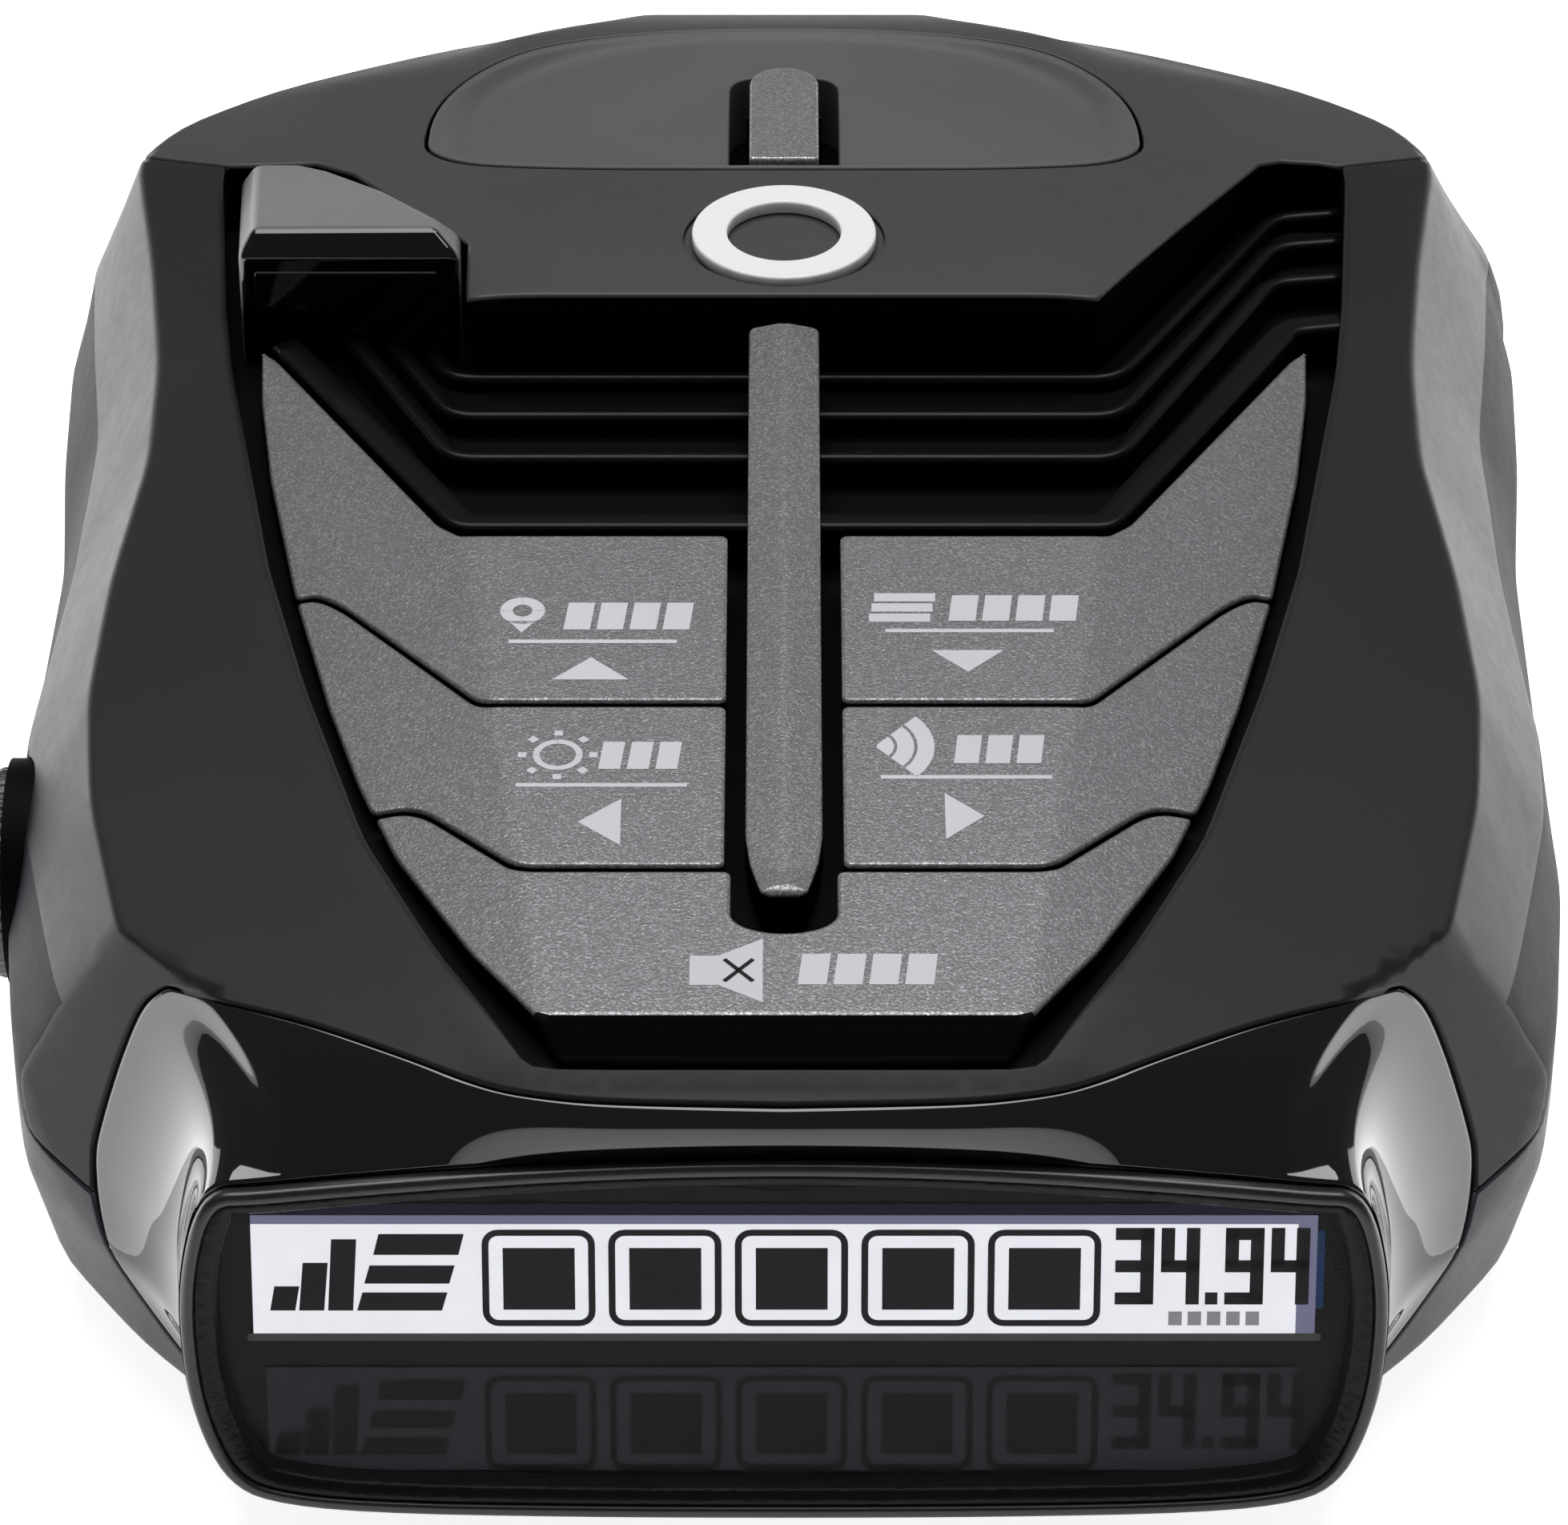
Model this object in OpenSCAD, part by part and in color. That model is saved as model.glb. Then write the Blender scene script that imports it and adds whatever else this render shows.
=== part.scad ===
// Windshield radar detector: two-shell case with a sloping key field, a wide
// display facing the driver (-Y) and the horn antenna facing the road (+Y).
// Millimetres, +Z up, +X to the driver's right, standing on its flat bottom.

/* [Body] */
// Thickness of the case walls
wall = 1.8; // [1.4:0.1:2.2]
// Height of the parting plane between the lower and upper case
seam_z = 12; // [11:0.5:13]
// Gap left between neighbouring cover pieces
gap = 0.15; // [0.1:0.05:0.3]

/* [Keys] */
// Travel of each key
key_travel = 0.5; // [0.3:0.1:0.6]
// Width of the groove between keys
key_gap = 0.6; // [0.5:0.05:0.8]
// Radius of each key stem
stem_r = 1.6; // [1.4:0.1:1.8]

/* [Display] */
// Width of the lit display field
screen_w = 55; // [50:1:56]
// Height of the lit display field
screen_h = 6.8; // [6:0.2:8]
// Angle by which the display leans back
display_lean = 13; // [11:1:14]

/* [Controls and sockets] */
// Radius of the volume knob
knob_r = 6; // [5:0.25:6.25]
// Bore radius of the power socket
jack_r = 1.8; // [1.7:0.05:1.9]
// Depth of the power socket bore
jack_depth = 10; // [9:0.5:11]
// Width of the bracket slot
slot_w = 18; // [16:1:20]
// Height of the bracket slot
slot_h = 4.2; // [4.1:0.05:4.2]
// Travel of the bracket release button
release_travel = 1.4; // [1:0.1:1.6]

/* [Hidden] */
rear_y = 58.5;
rear_seam_y = 36;
bezel_z = 5;
keys_slope = 2.6;
keys_z = 28.9;
keys_y = -8;
deck_z = 24.6;
deck_t = 1;
dish_y = 33;
slot_z = 22;
knob_y = -17.5;
knob_z = 14;
jack_y = 2;
jack_z = 8.4;
usb_y = 16;
catch_z = 22.6;
spring_z = catch_z - 3.8 - release_travel;
board_z = 5;
board_t = 1.2;
screw_r = 1.15;
rear_screw_xy = [[30, 42], [-30, 42]];
front_screw_xy = [[33, -35], [-33, -35]];
screw_xy = concat(rear_screw_xy, front_screw_xy);
key_board_pin_xy = [[-21, -10], [21, -10], [-13.4, -44], [13.4, -44]];
board_screw_xy = [[29, 9], [-29, 9], [26, -38], [-26, -38]];
key_stem_xy = [[-11, -15], [11, -15], [-10.5, -29], [10.5, -29], [0, -44.6]];
big = 200;

widest = [[-59, 24], [-57, 28.6], [-52, 32.2], [-45, 37.2], [-38, 40.5], [-31, 42.2],
  [-20, 43.4], [-6, 43.3], [12, 42.4], [24, 43.3], [36, 43.9], [43, 42.4],
  [48, 37.5], [53, 28.4], [56.5, 19.5], [58.5, 14]];
rail = [[-59, 22], [-52, 31], [-45, 35.6], [-36, 38.6], [-31, 40], [-20, 42.2],
  [-12, 42.6], [4, 41.5], [19, 41.2], [30, 42.4], [40, 43.2], [44, 41],
  [48, 36.6], [53, 27.4], [56.5, 18.6], [58.5, 13.5]];
crease = [[-59, 20], [-52, 29], [-45, 32.6], [-39, 34.9], [-27, 37.5], [-18, 38.3],
  [-7, 37.9], [5, 36.7], [15, 36.9], [26, 38.1], [38, 39.9], [43, 37.5],
  [48, 32], [53, 23.5], [56.5, 16.5], [58.5, 12]];
recess = [[-52, 12], [-42.4, 17.5], [-33, 21.8], [-19, 25.8], [-8, 28.4], [4, 30.4],
  [13, 31.9], [20, 32.7], [36, 34], [48, 28], [58.5, 10.5]];
crown = [[-53, 25.2], [-51, 26.5], [-46, 27.3], [-30, 28], [-8, 28.7], [12, 31],
  [16, 31.4], [22, 31.3], [33, 30.7], [50, 29.2], [54.5, 28.5], [57, 27.8], [58.5, 27]];
cheek = [[-53, 25], [-51, 26.3], [-46, 27.2], [-30, 27.9], [-10, 28.5], [36, 28.8],
  [50, 27.8], [54.5, 27.4], [57, 26.8], [58.5, 26]];

function smooth(list, y) = (lookup(y - 2, list) + 2 * lookup(y, list) + lookup(y + 2, list)) / 4;
function station(i, n, a, b) = a + (b - a) * i / n;
function crease_z(y) = min(smooth(cheek, y) - 0.6, lookup(y, [[-50, 23.5], [-40, 24.8], [-20, 26.4], [0, 27.2]]));
function half_ring(y) = [
  [smooth(widest, y) - 6, 0],
  [smooth(widest, y) - 1.6, 2.8],
  [smooth(widest, y), 9],
  [smooth(widest, y), 14.5],
  [smooth(rail, y), 19.5],
  [smooth(crease, y), crease_z(y)],
  [min(smooth(recess, y), smooth(crease, y) - 1.5), smooth(cheek, y)],
  [min(17, smooth(recess, y) - 2.5), smooth(crown, y) - 0.3]];
function ring(y) = let (h = half_ring(y), m = len(h)) concat(
  [for (i = [0 : m - 1]) [h[i][0], y, h[i][1]]],
  [for (i = [m - 1 : -1 : 0]) [-h[i][0], y, h[i][1]]]);

// Case form: cross-sections along Y joined into one closed body
module case_form() {
  n = 18;
  m = 16;
  polyhedron(
    points = [for (i = [0 : n]) each ring(station(i, n, -59, rear_y))],
    faces = concat(
      [[for (k = [m - 1 : -1 : 0]) k]],
      [[for (k = [0 : m - 1]) n * m + k]],
      [for (i = [0 : n - 1], k = [0 : m - 1]) [i * m + k, (i + 1) * m + (k + 1) % m, (i + 1) * m + k]],
      [for (i = [0 : n - 1], k = [0 : m - 1]) [i * m + k, i * m + (k + 1) % m, (i + 1) * m + (k + 1) % m]]));
}

// Outline of the hollow, a set distance inside the narrower of two width curves
module hollow_plan(list, inset, a, b) {
  n = 10;
  ys = [for (i = [0 : n]) station(i, n, a, b)];
  polygon(concat(
    [for (y = ys) [smooth(list, y) - inset, y]],
    [for (i = [n : -1 : 0]) [inset - smooth(list, ys[i]), ys[i]]]));
}

// Hollow of the case: floor tray, main chamber and the space under the roof
module cavity() {
  plan(wall, 3.6) hollow_plan(widest, 4.6, -50, 54);
  plan(3.5, 17.1) hollow_plan(rail, 2.2, -56, 55.2);
  plan(17, 22.4) hollow_plan(crease, 2.2, -55, 33);
  plan(22, deck_z) hollow_plan(recess, -3, -48, 33);
  plan(17, 20.2) hollow_plan(crease, 2.6, 32, 52);
}

module slab(z0, z1) {
  translate([-big / 2, -big / 2, z0]) cube([big, big, z1 - z0]);
}

module plan(z0, z1) {
  translate([0, 0, z0]) linear_extrude(z1 - z0) children();
}

module both_sides() {
  children();
  mirror([1, 0, 0]) children();
}

module at_each(list) {
  for (p = list) translate([p[0], p[1], 0]) children();
}

// Coordinates on the leaning display face: X across, Y up the face, Z outwards
module on_display() {
  translate([0, -56.4, 12.4]) rotate([90 - display_lean, 0, 0]) children();
}

// Plan outline of everything in front of the glossy bezel seam
module bezel_plan(d = 0) {
  polygon(concat(
    [for (p = [[-48, -41], [-35.2, -41.6], [-33, -43], [-29.5, -44.6], [-25, -46.9], [-20, -49.5],
      [-16, -51.7], [-12.5, -52.8], [0, -53.1]]) [p[0], p[1] - d]],
    [for (p = [[12.5, -52.8], [16, -51.7], [20, -49.5], [25, -46.9], [29.5, -44.6], [33, -43],
      [35.2, -41.6], [48, -41]]) [p[0], p[1] - d]],
    [[48, -70], [-48, -70]]));
}

// Plan outline behind the seam of the rear cover
module rear_plan(d = 0) {
  polygon([[-50, 46 + d], [-44, 42 + d], [-39.7, 38.6 + d], [-34, rear_seam_y + d],
    [34, rear_seam_y + d], [39.7, 38.6 + d], [44, 42 + d], [50, 46 + d], [50, 80], [-50, 80]]);
}

// Plan outline of the open recess between the cheeks, grown by d
module recess_plan(d = 0) {
  ys = [for (i = [0 : 16]) station(i, 16, -50.9, rear_seam_y)];
  polygon(concat(
    [for (y = ys) [lookup(y, recess) + d, y - (y < -50 ? d : 0)]],
    [for (i = [16 : -1 : 0]) [-lookup(ys[i], recess) - d, ys[i] - (ys[i] < -50 ? d : 0)]]));
}

// Outline of the keypad field, split later into five keys
module key_field() {
  both_sides() polygon([[-0.01, -7.5], [17.3, -7.5], [19.6, -5.2], [29.4, 12.8], [31.2, 14.6],
    [29.9, 4], [27.9, -8], [25.4, -19], [21.4, -33], [17.2, -42], [12.2, -50], [-0.01, -50.2]]);
}

module bridge_plan() {
  polygon([[-18.6, 15.6], [18.4, 15.6], [30, 35.4], [32.8, 36.4], [32.8, 40], [-34, 40],
    [-34, rear_seam_y], [-30, 33], [-22, 25], [-18.6, 22]]);
}

module dish_plan(d = 0) {
  n = 28;
  polygon(concat(
    [[-17.5 - d * 0.7, dish_y - d], [17.5 + d * 0.7, dish_y - d]],
    [for (i = [0 : n]) let (a = -10 + 200 * i / n)
      [(21.9 + d) * cos(a), 37.6 + (16.6 + d) * sin(a) * (sin(a) < 0 ? 0.9 : 1)]]));
}

module pod_plan(d = 0) {
  polygon([[-33.5 + d, 35.4 - d], [-28.8, 35.4 - d], [-26.4 - d * 0.5, 33.6 - d], [-19.1 - d, 23.4],
    [-19.1 - d, 18.8 + d], [-32.2 + d, 18.8 + d]]);
}

module screw_boss(z0, z1) {
  translate([0, 0, z0]) cylinder(r = 3, h = z1 - z0, $fn = 40);
}

module knob_well() {
  translate([-50, knob_y, knob_z]) rotate([0, 90, 0]) cylinder(r = knob_r + 0.4, h = 9.4, $fn = 64);
}

module knob_bore() {
  translate([-50, knob_y, knob_z]) rotate([0, 90, 0]) cylinder(r = 2.2, h = 14, $fn = 40);
}

module knob_cup() {
  translate([-40.6, knob_y, knob_z]) rotate([0, 90, 0]) cylinder(r = knob_r + 1.8, h = 1.8, $fn = 64);
}

module lower_case() {
  color([0.06, 0.06, 0.065]) difference() {
    intersection() {
      case_form();
      slab(-1, seam_z);
    }
    difference() {
      cavity();
      at_each(screw_xy) screw_boss(0.2, 40);
      at_each(board_screw_xy) screw_boss(0.2, board_z);
      knob_cup();
    }
    // Space taken by the bezel and the display frame
    plan(bezel_z, 40) bezel_plan(-gap);
    on_display() translate([0, 0, -5.2]) linear_extrude(20) frame_outline(0.12);
    on_display() translate([-40, -8.9, -0.2]) cube([80, 40, 20]);
    // Chin sloping back under the display
    below_plane(0, -58.8, 2.3, -31, 0);
    knob_well();
    knob_bore();
    // Window of the antenna and laser sensor
    translate([-25.4, 50, 3.4]) cube([50.8, 20, seam_z]);
    // Side sockets
    translate([30, jack_y, jack_z]) rotate([0, 90, 0]) cylinder(r = 3.2, h = 20, $fn = 48);
    translate([30, usb_y - 4.25, 6.1]) cube([20, 8.5, 3.6]);
    // Sound slots
    for (i = [-3 : 3]) translate([6, -14 + i * 3 - 0.6, -1]) cube([16, 1.2, 4]);
    // Label recess
    translate([-18, 6, -1]) cube([36, 22, 1.25]);
    at_each(screw_xy) {
      translate([0, 0, -1]) cylinder(r = screw_r, h = 20, $fn = 32);
      translate([0, 0, -1]) cylinder(r = 2.5, h = 3.2, $fn = 40);
    }
    at_each(board_screw_xy) translate([0, 0, 2.2]) cylinder(r = 0.85, h = 10, $fn = 24);
  }
}

module upper_case() {
  color([0.05, 0.05, 0.055]) difference() {
    intersection() {
      case_form();
      slab(seam_z, 40);
    }
    difference() {
      cavity();
      at_each(front_screw_xy) screw_boss(seam_z, 40);
      at_each(key_board_pin_xy) translate([0, 0, 19.6]) cylinder(r = 0.8, h = 10, $fn = 24);
      knob_cup();
    }
    plan(deck_z + deck_t, 40) recess_plan();
    plan(10, 40) intersection() {
      recess_plan();
      translate([-40, -1]) square([80, 60]);
    }
    plan(-1, 40) bezel_plan();
    plan(-1, 40) rear_plan();
    knob_well();
    knob_bore();
    at_each(key_stem_xy) translate([0, 0, 20]) cylinder(r = stem_r + 0.1, h = 10, $fn = 40);
    at_each(front_screw_xy) translate([0, 0, seam_z - 1]) cylinder(r = 0.92, h = 7.6, $fn = 24);
  }
}

module rear_cover() {
  color([0.045, 0.045, 0.05]) difference() {
    intersection() {
      case_form();
      union() {
        plan(seam_z, 40) rear_plan(gap);
        // Bridge over the grille
        plan(26.8, 40) bridge_plan();
      }
    }
    difference() {
      cavity();
      at_each(rear_screw_xy) screw_boss(seam_z, 40);
      // Seat of the release spring
      translate([-4, 38.8, spring_z - 0.8]) cube([8, 5.2, 8]);
    }
    // Relief inside the bridge
    plan(20, 29.2) polygon([[-16, 18], [16, 18], [24, 30], [-16, 30]]);
    both_sides() translate([12, 36, 10]) cube([14, 9, 14.4]);
    plan(26.2, 40) dish_plan(0.2);
    plan(10, 40) pod_plan(-gap);
    plan(10, 40) translate([-50, 0]) square([15.9, rear_seam_y + gap]);
    plan(30.4, 40) translate([0, 24]) circle(r = 6, $fn = 64);
    // Bracket slot from the road side
    translate([-slot_w / 2, 36, slot_z]) cube([slot_w, 40, slot_h]);
    translate([-25.4, 50, 5]) cube([50.8, 20, 15]);
    translate([-2.6, 35.4, spring_z]) cube([5.2, 13, 20]);
    at_each(rear_screw_xy) translate([0, 0, seam_z - 1]) cylinder(r = 0.92, h = 7.6, $fn = 24);
  }
}

module dock_dish() {
  color([0.07, 0.07, 0.072]) difference() {
    intersection() {
      case_form();
      plan(26.2, 40) dish_plan();
    }
    hull() {
      plan(27.6, 27.7) dish_plan(-3);
      plan(31.5, 31.6) dish_plan(0.4);
    }
    translate([0, 0, 28.2]) linear_extrude(4) translate([-3.5, 34.6]) square([7, 13.6]);
    translate([-2.6, 35.4, 20]) cube([5.2, 12.5, 12]);
  }
}

module emblem_ring() {
  color([0.82, 0.82, 0.82]) plan(30.4, 31.25) translate([0, 24]) difference() {
    circle(r = 5.5, $fn = 64);
    circle(r = 3.4, $fn = 64);
  }
}

// One louvre blade: a line across the field that turns back along both cheeks
module louvre(y, reach, thick) {
  both_sides() polygon([[2.6, y], [17.4, y], [31.4, y + reach], [31.4, y + reach + thick * 1.6],
    [16.9, y + thick], [2.6, y + thick]]);
}

module louvre_grille() {
  color([0.035, 0.035, 0.04]) difference() {
    union() {
      plan(21, 22.2) intersection() {
        recess_plan(2);
        translate([-40, -0.8]) square([80, 33]);
      }
      intersection() {
        plan(22, 28) recess_plan(-gap);
        union() {
          plan(22, 28) louvre(-3, 20.5, 1.5);
          plan(22, 27.2) louvre(3.8, 20.5, 1.2);
          plan(22, 26.6) louvre(8.7, 20.5, 1.2);
          plan(22, 26.4) louvre(13.4, 20.5, 1.2);
          plan(22, 24.6) both_sides() translate([2.6, -2.5]) square([1.2, 18]);
        }
      }
    }
    plan(22.2, 40) pod_plan(-gap);
    plan(26.6, 40) bridge_plan();
    // Clearance over the key deck
    plan(20, 25.8) translate([-40, -8]) square([80, 7.1]);
  }
}

module spine_trim() {
  color([0.3, 0.3, 0.3]) intersection() {
    plan(deck_z + deck_t, 31) polygon([[-2.15, 15.4], [-2.15, -33], [-1.2, -38.4], [-0.7, -40],
      [0.7, -40], [1.2, -38.4], [2.15, -33], [2.15, 15.4]]);
    both_below(0, -33, 28.5, 1.9, 8);
    below_plane(0, -37.4, 28.3, 50, 0);
  }
}

module laser_pod() {
  color([0.12, 0.12, 0.125]) difference() {
    intersection() {
      plan(22.3, 34) pod_plan();
      // Roof rising towards the driver
      translate([-40, 0, 0]) rotate([90, 0, 90]) linear_extrude(30)
        polygon([[18.8, 20], [18.8, 32.6], [20, 33.8], [35.6, 29.4], [35.6, 20]]);
      // Chamfers along both flanks
      translate([-26, 27, 0]) rotate([90, 0, 0]) linear_extrude(30, center = true)
        polygon([[-8, 20], [-8, 32], [-6.2, 34.2], [5.6, 34.2], [7.2, 31], [7.2, 20]]);
    }
    // Window seat and sensor chamber
    translate([-31.4, 18, 23]) cube([11, 2.2, 8.6]);
    translate([-30.6, 19.4, 22.4]) cube([9.4, 8.6, 8.2]);
  }
}

module pod_window() {
  color([0.02, 0.015, 0.02]) translate([-31.3, 18.7, 23.1]) cube([10.8, 1.4, 8.4]);
}

module pod_sensor() {
  color([0.15, 0.2, 0.15]) {
    translate([-29.6, 24.6, 22.9]) cube([7.4, 1.2, 6.6]);
    translate([-26, 24.6, 26.2]) rotate([90, 0, 0]) cylinder(r = 2.2, h = 2.4, $fn = 40);
  }
}

module display_bezel() {
  color([0.015, 0.015, 0.018]) difference() {
    intersection() {
      case_form();
      plan(bezel_z + gap, 40) bezel_plan(gap);
    }
    cavity();
    on_display() translate([0, 0, -5.2]) linear_extrude(20) frame_outline(0.12);
    on_display() translate([-40, -20, -0.2]) cube([80, 40, 20]);
  }
}

// Front view of the display frame, u across and v up the face
module frame_outline(d = 0) {
  n = 8;
  offset(delta = d) polygon(concat(
    [for (i = [0 : n]) let (u = -27 + 54 * i / n) [-u, 8.4 + 1.7 * cos(u * 3.2)]],
    [[-29.2, 8.2], [-30.5, 6.6], [-31.2, 2], [-30.7, -4], [-29.6, -7.4],
      [-27.6, -9.2], [-22, -10.1], [0, -10.4], [22, -10.1], [27.6, -9.2],
      [29.6, -7.4], [30.7, -4], [31.2, 2], [30.5, 6.6], [29.2, 8.2]]));
}

module display_frame() {
  color([0.06, 0.055, 0.05]) on_display() difference() {
    translate([0, 0, -5]) linear_extrude(5.4) frame_outline();
    translate([0, 0, -1.2]) linear_extrude(3) frame_outline(-1);
    translate([0, 0, -7]) linear_extrude(8) frame_outline(-2);
    translate([0, 0, -7]) linear_extrude(5.4) frame_outline(-1.2);
  }
}

module display_window() {
  color([0.2, 0.2, 0.24, 0.5]) on_display() translate([0, 0, -1.2]) linear_extrude(0.9) frame_outline(-1.1);
}

module display_panel() {
  color([0.9, 0.9, 0.95]) on_display() {
    translate([-screen_w / 2 - 0.8, -2.6, -4.2]) cube([screen_w + 1.6, screen_h + 2.8, 1.5]);
    translate([-screen_w / 2, -0.5, -2.7]) cube([screen_w, screen_h, 0.15]);
  }
}

module display_holder() {
  color([0.03, 0.03, 0.032]) on_display() difference() {
    translate([-28.4, -6.8, -5]) cube([56.8, 13.8, 3.2]);
    translate([-screen_w / 2 - 0.9, -2.7, -4.3]) cube([screen_w + 1.8, screen_h + 3, 5]);
    translate([-7, -6, -8]) cube([14, 2, 10]);
  }
}

module display_flex() {
  color([0.75, 0.45, 0.1]) {
    on_display() translate([-6, -5.2, -9]) cube([12, 0.25, 5.8]);
    translate([-6, -47.4, 4]) cube([12, 0.25, 3.5]);
  }
}

module front_window() {
  color([0.05, 0.01, 0.01]) difference() {
    intersection() {
      case_form();
      translate([-25.2, 50.2, 3.6]) cube([50.4, 20, 16.2]);
    }
    cavity();
  }
}

module laser_lens() {
  color([0.5, 0.08, 0.08]) translate([-20, 47, 12]) rotate([-90, 0, 0]) {
    cylinder(r = 4, h = 1.2, $fn = 48);
    translate([0, 0, 1.2]) cylinder(r1 = 3.8, r2 = 2.4, h = 1, $fn = 48);
  }
}

module laser_board() {
  color([0.05, 0.25, 0.12]) {
    translate([-25.4, 40.2, board_z + board_t]) cube([10.2, 1.2, 12.4]);
    translate([-22, 41.4, 10]) cube([4, 1.6, 4]);
    translate([-24.8, 41.4, board_z + board_t]) cube([1.2, 5.6, 12]);
    translate([-16.6, 41.4, board_z + board_t]) cube([1.2, 5.6, 12]);
  }
}

module horn_antenna() {
  color([0.62, 0.63, 0.64]) difference() {
    union() {
      hull() {
        translate([-13, 49, 4.6]) cube([26, 3, 13.8]);
        translate([-7, 33.4, 6.4]) cube([14, 1, 6]);
      }
      translate([-8, 33, 5.8]) cube([16, 2, 7.4]);
      translate([-7, 24, 6.4]) cube([14, 9.4, 6]);
    }
    hull() {
      translate([-11.8, 49.2, 5.8]) cube([23.6, 4, 11.4]);
      translate([-5.4, 34, 7.4]) cube([10.8, 1, 4]);
    }
    translate([-5.4, 25, 7.4]) cube([10.8, 12, 4]);
  }
}

module rf_board() {
  color([0.06, 0.28, 0.14]) translate([-15, 11, 13]) cube([30, 20, 1.2]);
}

module rf_shield() {
  color([0.7, 0.7, 0.68]) difference() {
    translate([-12.5, 12.5, 14.2]) cube([25, 17, 2.4]);
    translate([-12.1, 12.9, 14.1]) cube([24.2, 16.2, 2.1]);
  }
}

module main_board() {
  color([0.05, 0.3, 0.15]) difference() {
    plan(board_z, board_z + board_t) polygon([[-31, 32], [-31, 20], [-35, 8], [-35, -25], [-30, -42],
      [30, -42], [35, -25], [35, 8], [31, 20], [31, 32]]);
    translate([14, -14, 0]) cylinder(r = 13.2, h = 20, $fn = 64);
    at_each(board_screw_xy) translate([0, 0, 0]) cylinder(r = 1.1, h = 20, $fn = 32);
    at_each(screw_xy) cylinder(r = 3.3, h = 20, $fn = 40);
  }
}

module processor() {
  color([0.1, 0.1, 0.1]) {
    translate([-20, -20, board_z + board_t]) cube([12, 12, 1.2]);
    translate([-24, -36, board_z + board_t]) cube([8, 8, 1]);
    translate([4, -38, board_z + board_t]) cube([10, 6, 1.4]);
  }
}

module gps_antenna() {
  color([0.75, 0.68, 0.55]) {
    translate([-27, 10, board_z + board_t]) cube([13, 13, 1]);
    translate([-26.5, 10.5, board_z + board_t + 1]) cube([12, 12, 4]);
  }
}

module key_board() {
  color([0.06, 0.3, 0.15]) difference() {
    plan(20.4, 21.4) intersection() {
      recess_plan(-0.8);
      translate([-26, -48.4]) square([52, 47]);
    }
    at_each(key_board_pin_xy) cylinder(r = 0.85, h = 40, $fn = 24);
  }
}

module contact_domes() {
  color([0.8, 0.78, 0.7]) at_each(key_stem_xy) translate([0, 0, 21.4]) {
    cylinder(r = 2.4, h = 0.2, $fn = 40);
    translate([0, 0, 0.2]) cylinder(r1 = 2, r2 = 1.2, h = 0.25, $fn = 40);
  }
}

module key_membrane() {
  color([0.55, 0.55, 0.56]) difference() {
    union() {
      plan(21.4, 22.3) intersection() {
        recess_plan(-1.4);
        translate([-24, -48.2]) square([48, 45.2]);
      }
      at_each(key_stem_xy) translate([0, 0, 22.3]) cylinder(r1 = 2.4, r2 = 1.5, h = 1, $fn = 40);
    }
    at_each(key_stem_xy) translate([0, 0, 21.3]) cylinder(r = 2.5, h = 0.7, $fn = 40);
    at_each(key_board_pin_xy) cylinder(r = 1, h = 40, $fn = 24);
  }
}

module speaker() {
  color([0.2, 0.2, 0.2]) translate([14, -14, 0]) {
    translate([0, 0, 2.4]) cylinder(r = 13, h = 1.4, $fn = 64);
    translate([0, 0, 3.8]) cylinder(r1 = 12.4, r2 = 8, h = 2.4, $fn = 64);
    translate([0, 0, 6]) cylinder(r = 7.5, h = 3.2, $fn = 64);
  }
}

module speaker_gasket() {
  color([0.1, 0.1, 0.1]) translate([14, -14, wall]) difference() {
    cylinder(r = 13, h = 0.6, $fn = 64);
    translate([0, 0, -1]) cylinder(r = 11.2, h = 3, $fn = 64);
  }
}

module power_jack() {
  color([0.08, 0.08, 0.08]) difference() {
    union() {
      translate([27.6, jack_y - 3.2, board_z + board_t]) cube([11.2, 6.4, 5.6]);
      translate([38.6, jack_y, jack_z]) rotate([0, 90, 0]) cylinder(r = 3.05, h = 4, $fn = 48);
    }
    translate([42.6 - jack_depth, jack_y, jack_z]) rotate([0, 90, 0]) cylinder(r = jack_r, h = 20, $fn = 64);
  }
}

module usb_port() {
  color([0.7, 0.7, 0.72]) difference() {
    translate([35.4, usb_y - 3.8, board_z + board_t + 0.05]) cube([6.6, 7.6, 3]);
    translate([37, usb_y - 3.4, board_z + board_t + 0.45]) cube([8, 6.8, 2.2]);
  }
  color([0.1, 0.1, 0.1]) translate([36.9, usb_y - 2.4, board_z + board_t + 1.3]) cube([4, 4.8, 0.6]);
}

module volume_pot() {
  color([0.35, 0.36, 0.38]) difference() {
    translate([-36.8, knob_y - 5, board_z + board_t]) cube([5.8, 10, 10.6]);
    translate([-40, knob_y, knob_z]) rotate([0, 90, 0]) cylinder(r = 2.06, h = 7, $fn = 40);
  }
}

module case_screws() {
  color([0.12, 0.12, 0.12]) at_each(screw_xy) {
    translate([0, 0, 0.6]) cylinder(r = 2.2, h = 1.4, $fn = 40);
    translate([0, 0, 2]) cylinder(r = 0.9, h = 16, $fn = 24);
  }
}

module board_screws() {
  color([0.6, 0.6, 0.62]) at_each(board_screw_xy) {
    translate([0, 0, board_z + board_t]) cylinder(r = 1.9, h = 1.2, $fn = 32);
    translate([0, 0, 2.6]) cylinder(r = 0.8, h = board_z + board_t - 2.6, $fn = 24);
  }
}

module bottom_label() {
  color([0.75, 0.75, 0.75]) translate([-17.8, 6.2, 0.03]) cube([35.6, 21.6, 0.2]);
}

module release_spring() {
  color([0.7, 0.7, 0.7]) translate([0, 41.4, spring_z]) difference() {
    cylinder(r = 1.9, h = catch_z - spring_z, $fn = 40);
    translate([0, 0, -1]) cylinder(r = 1.3, h = 8, $fn = 40);
  }
}

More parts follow.
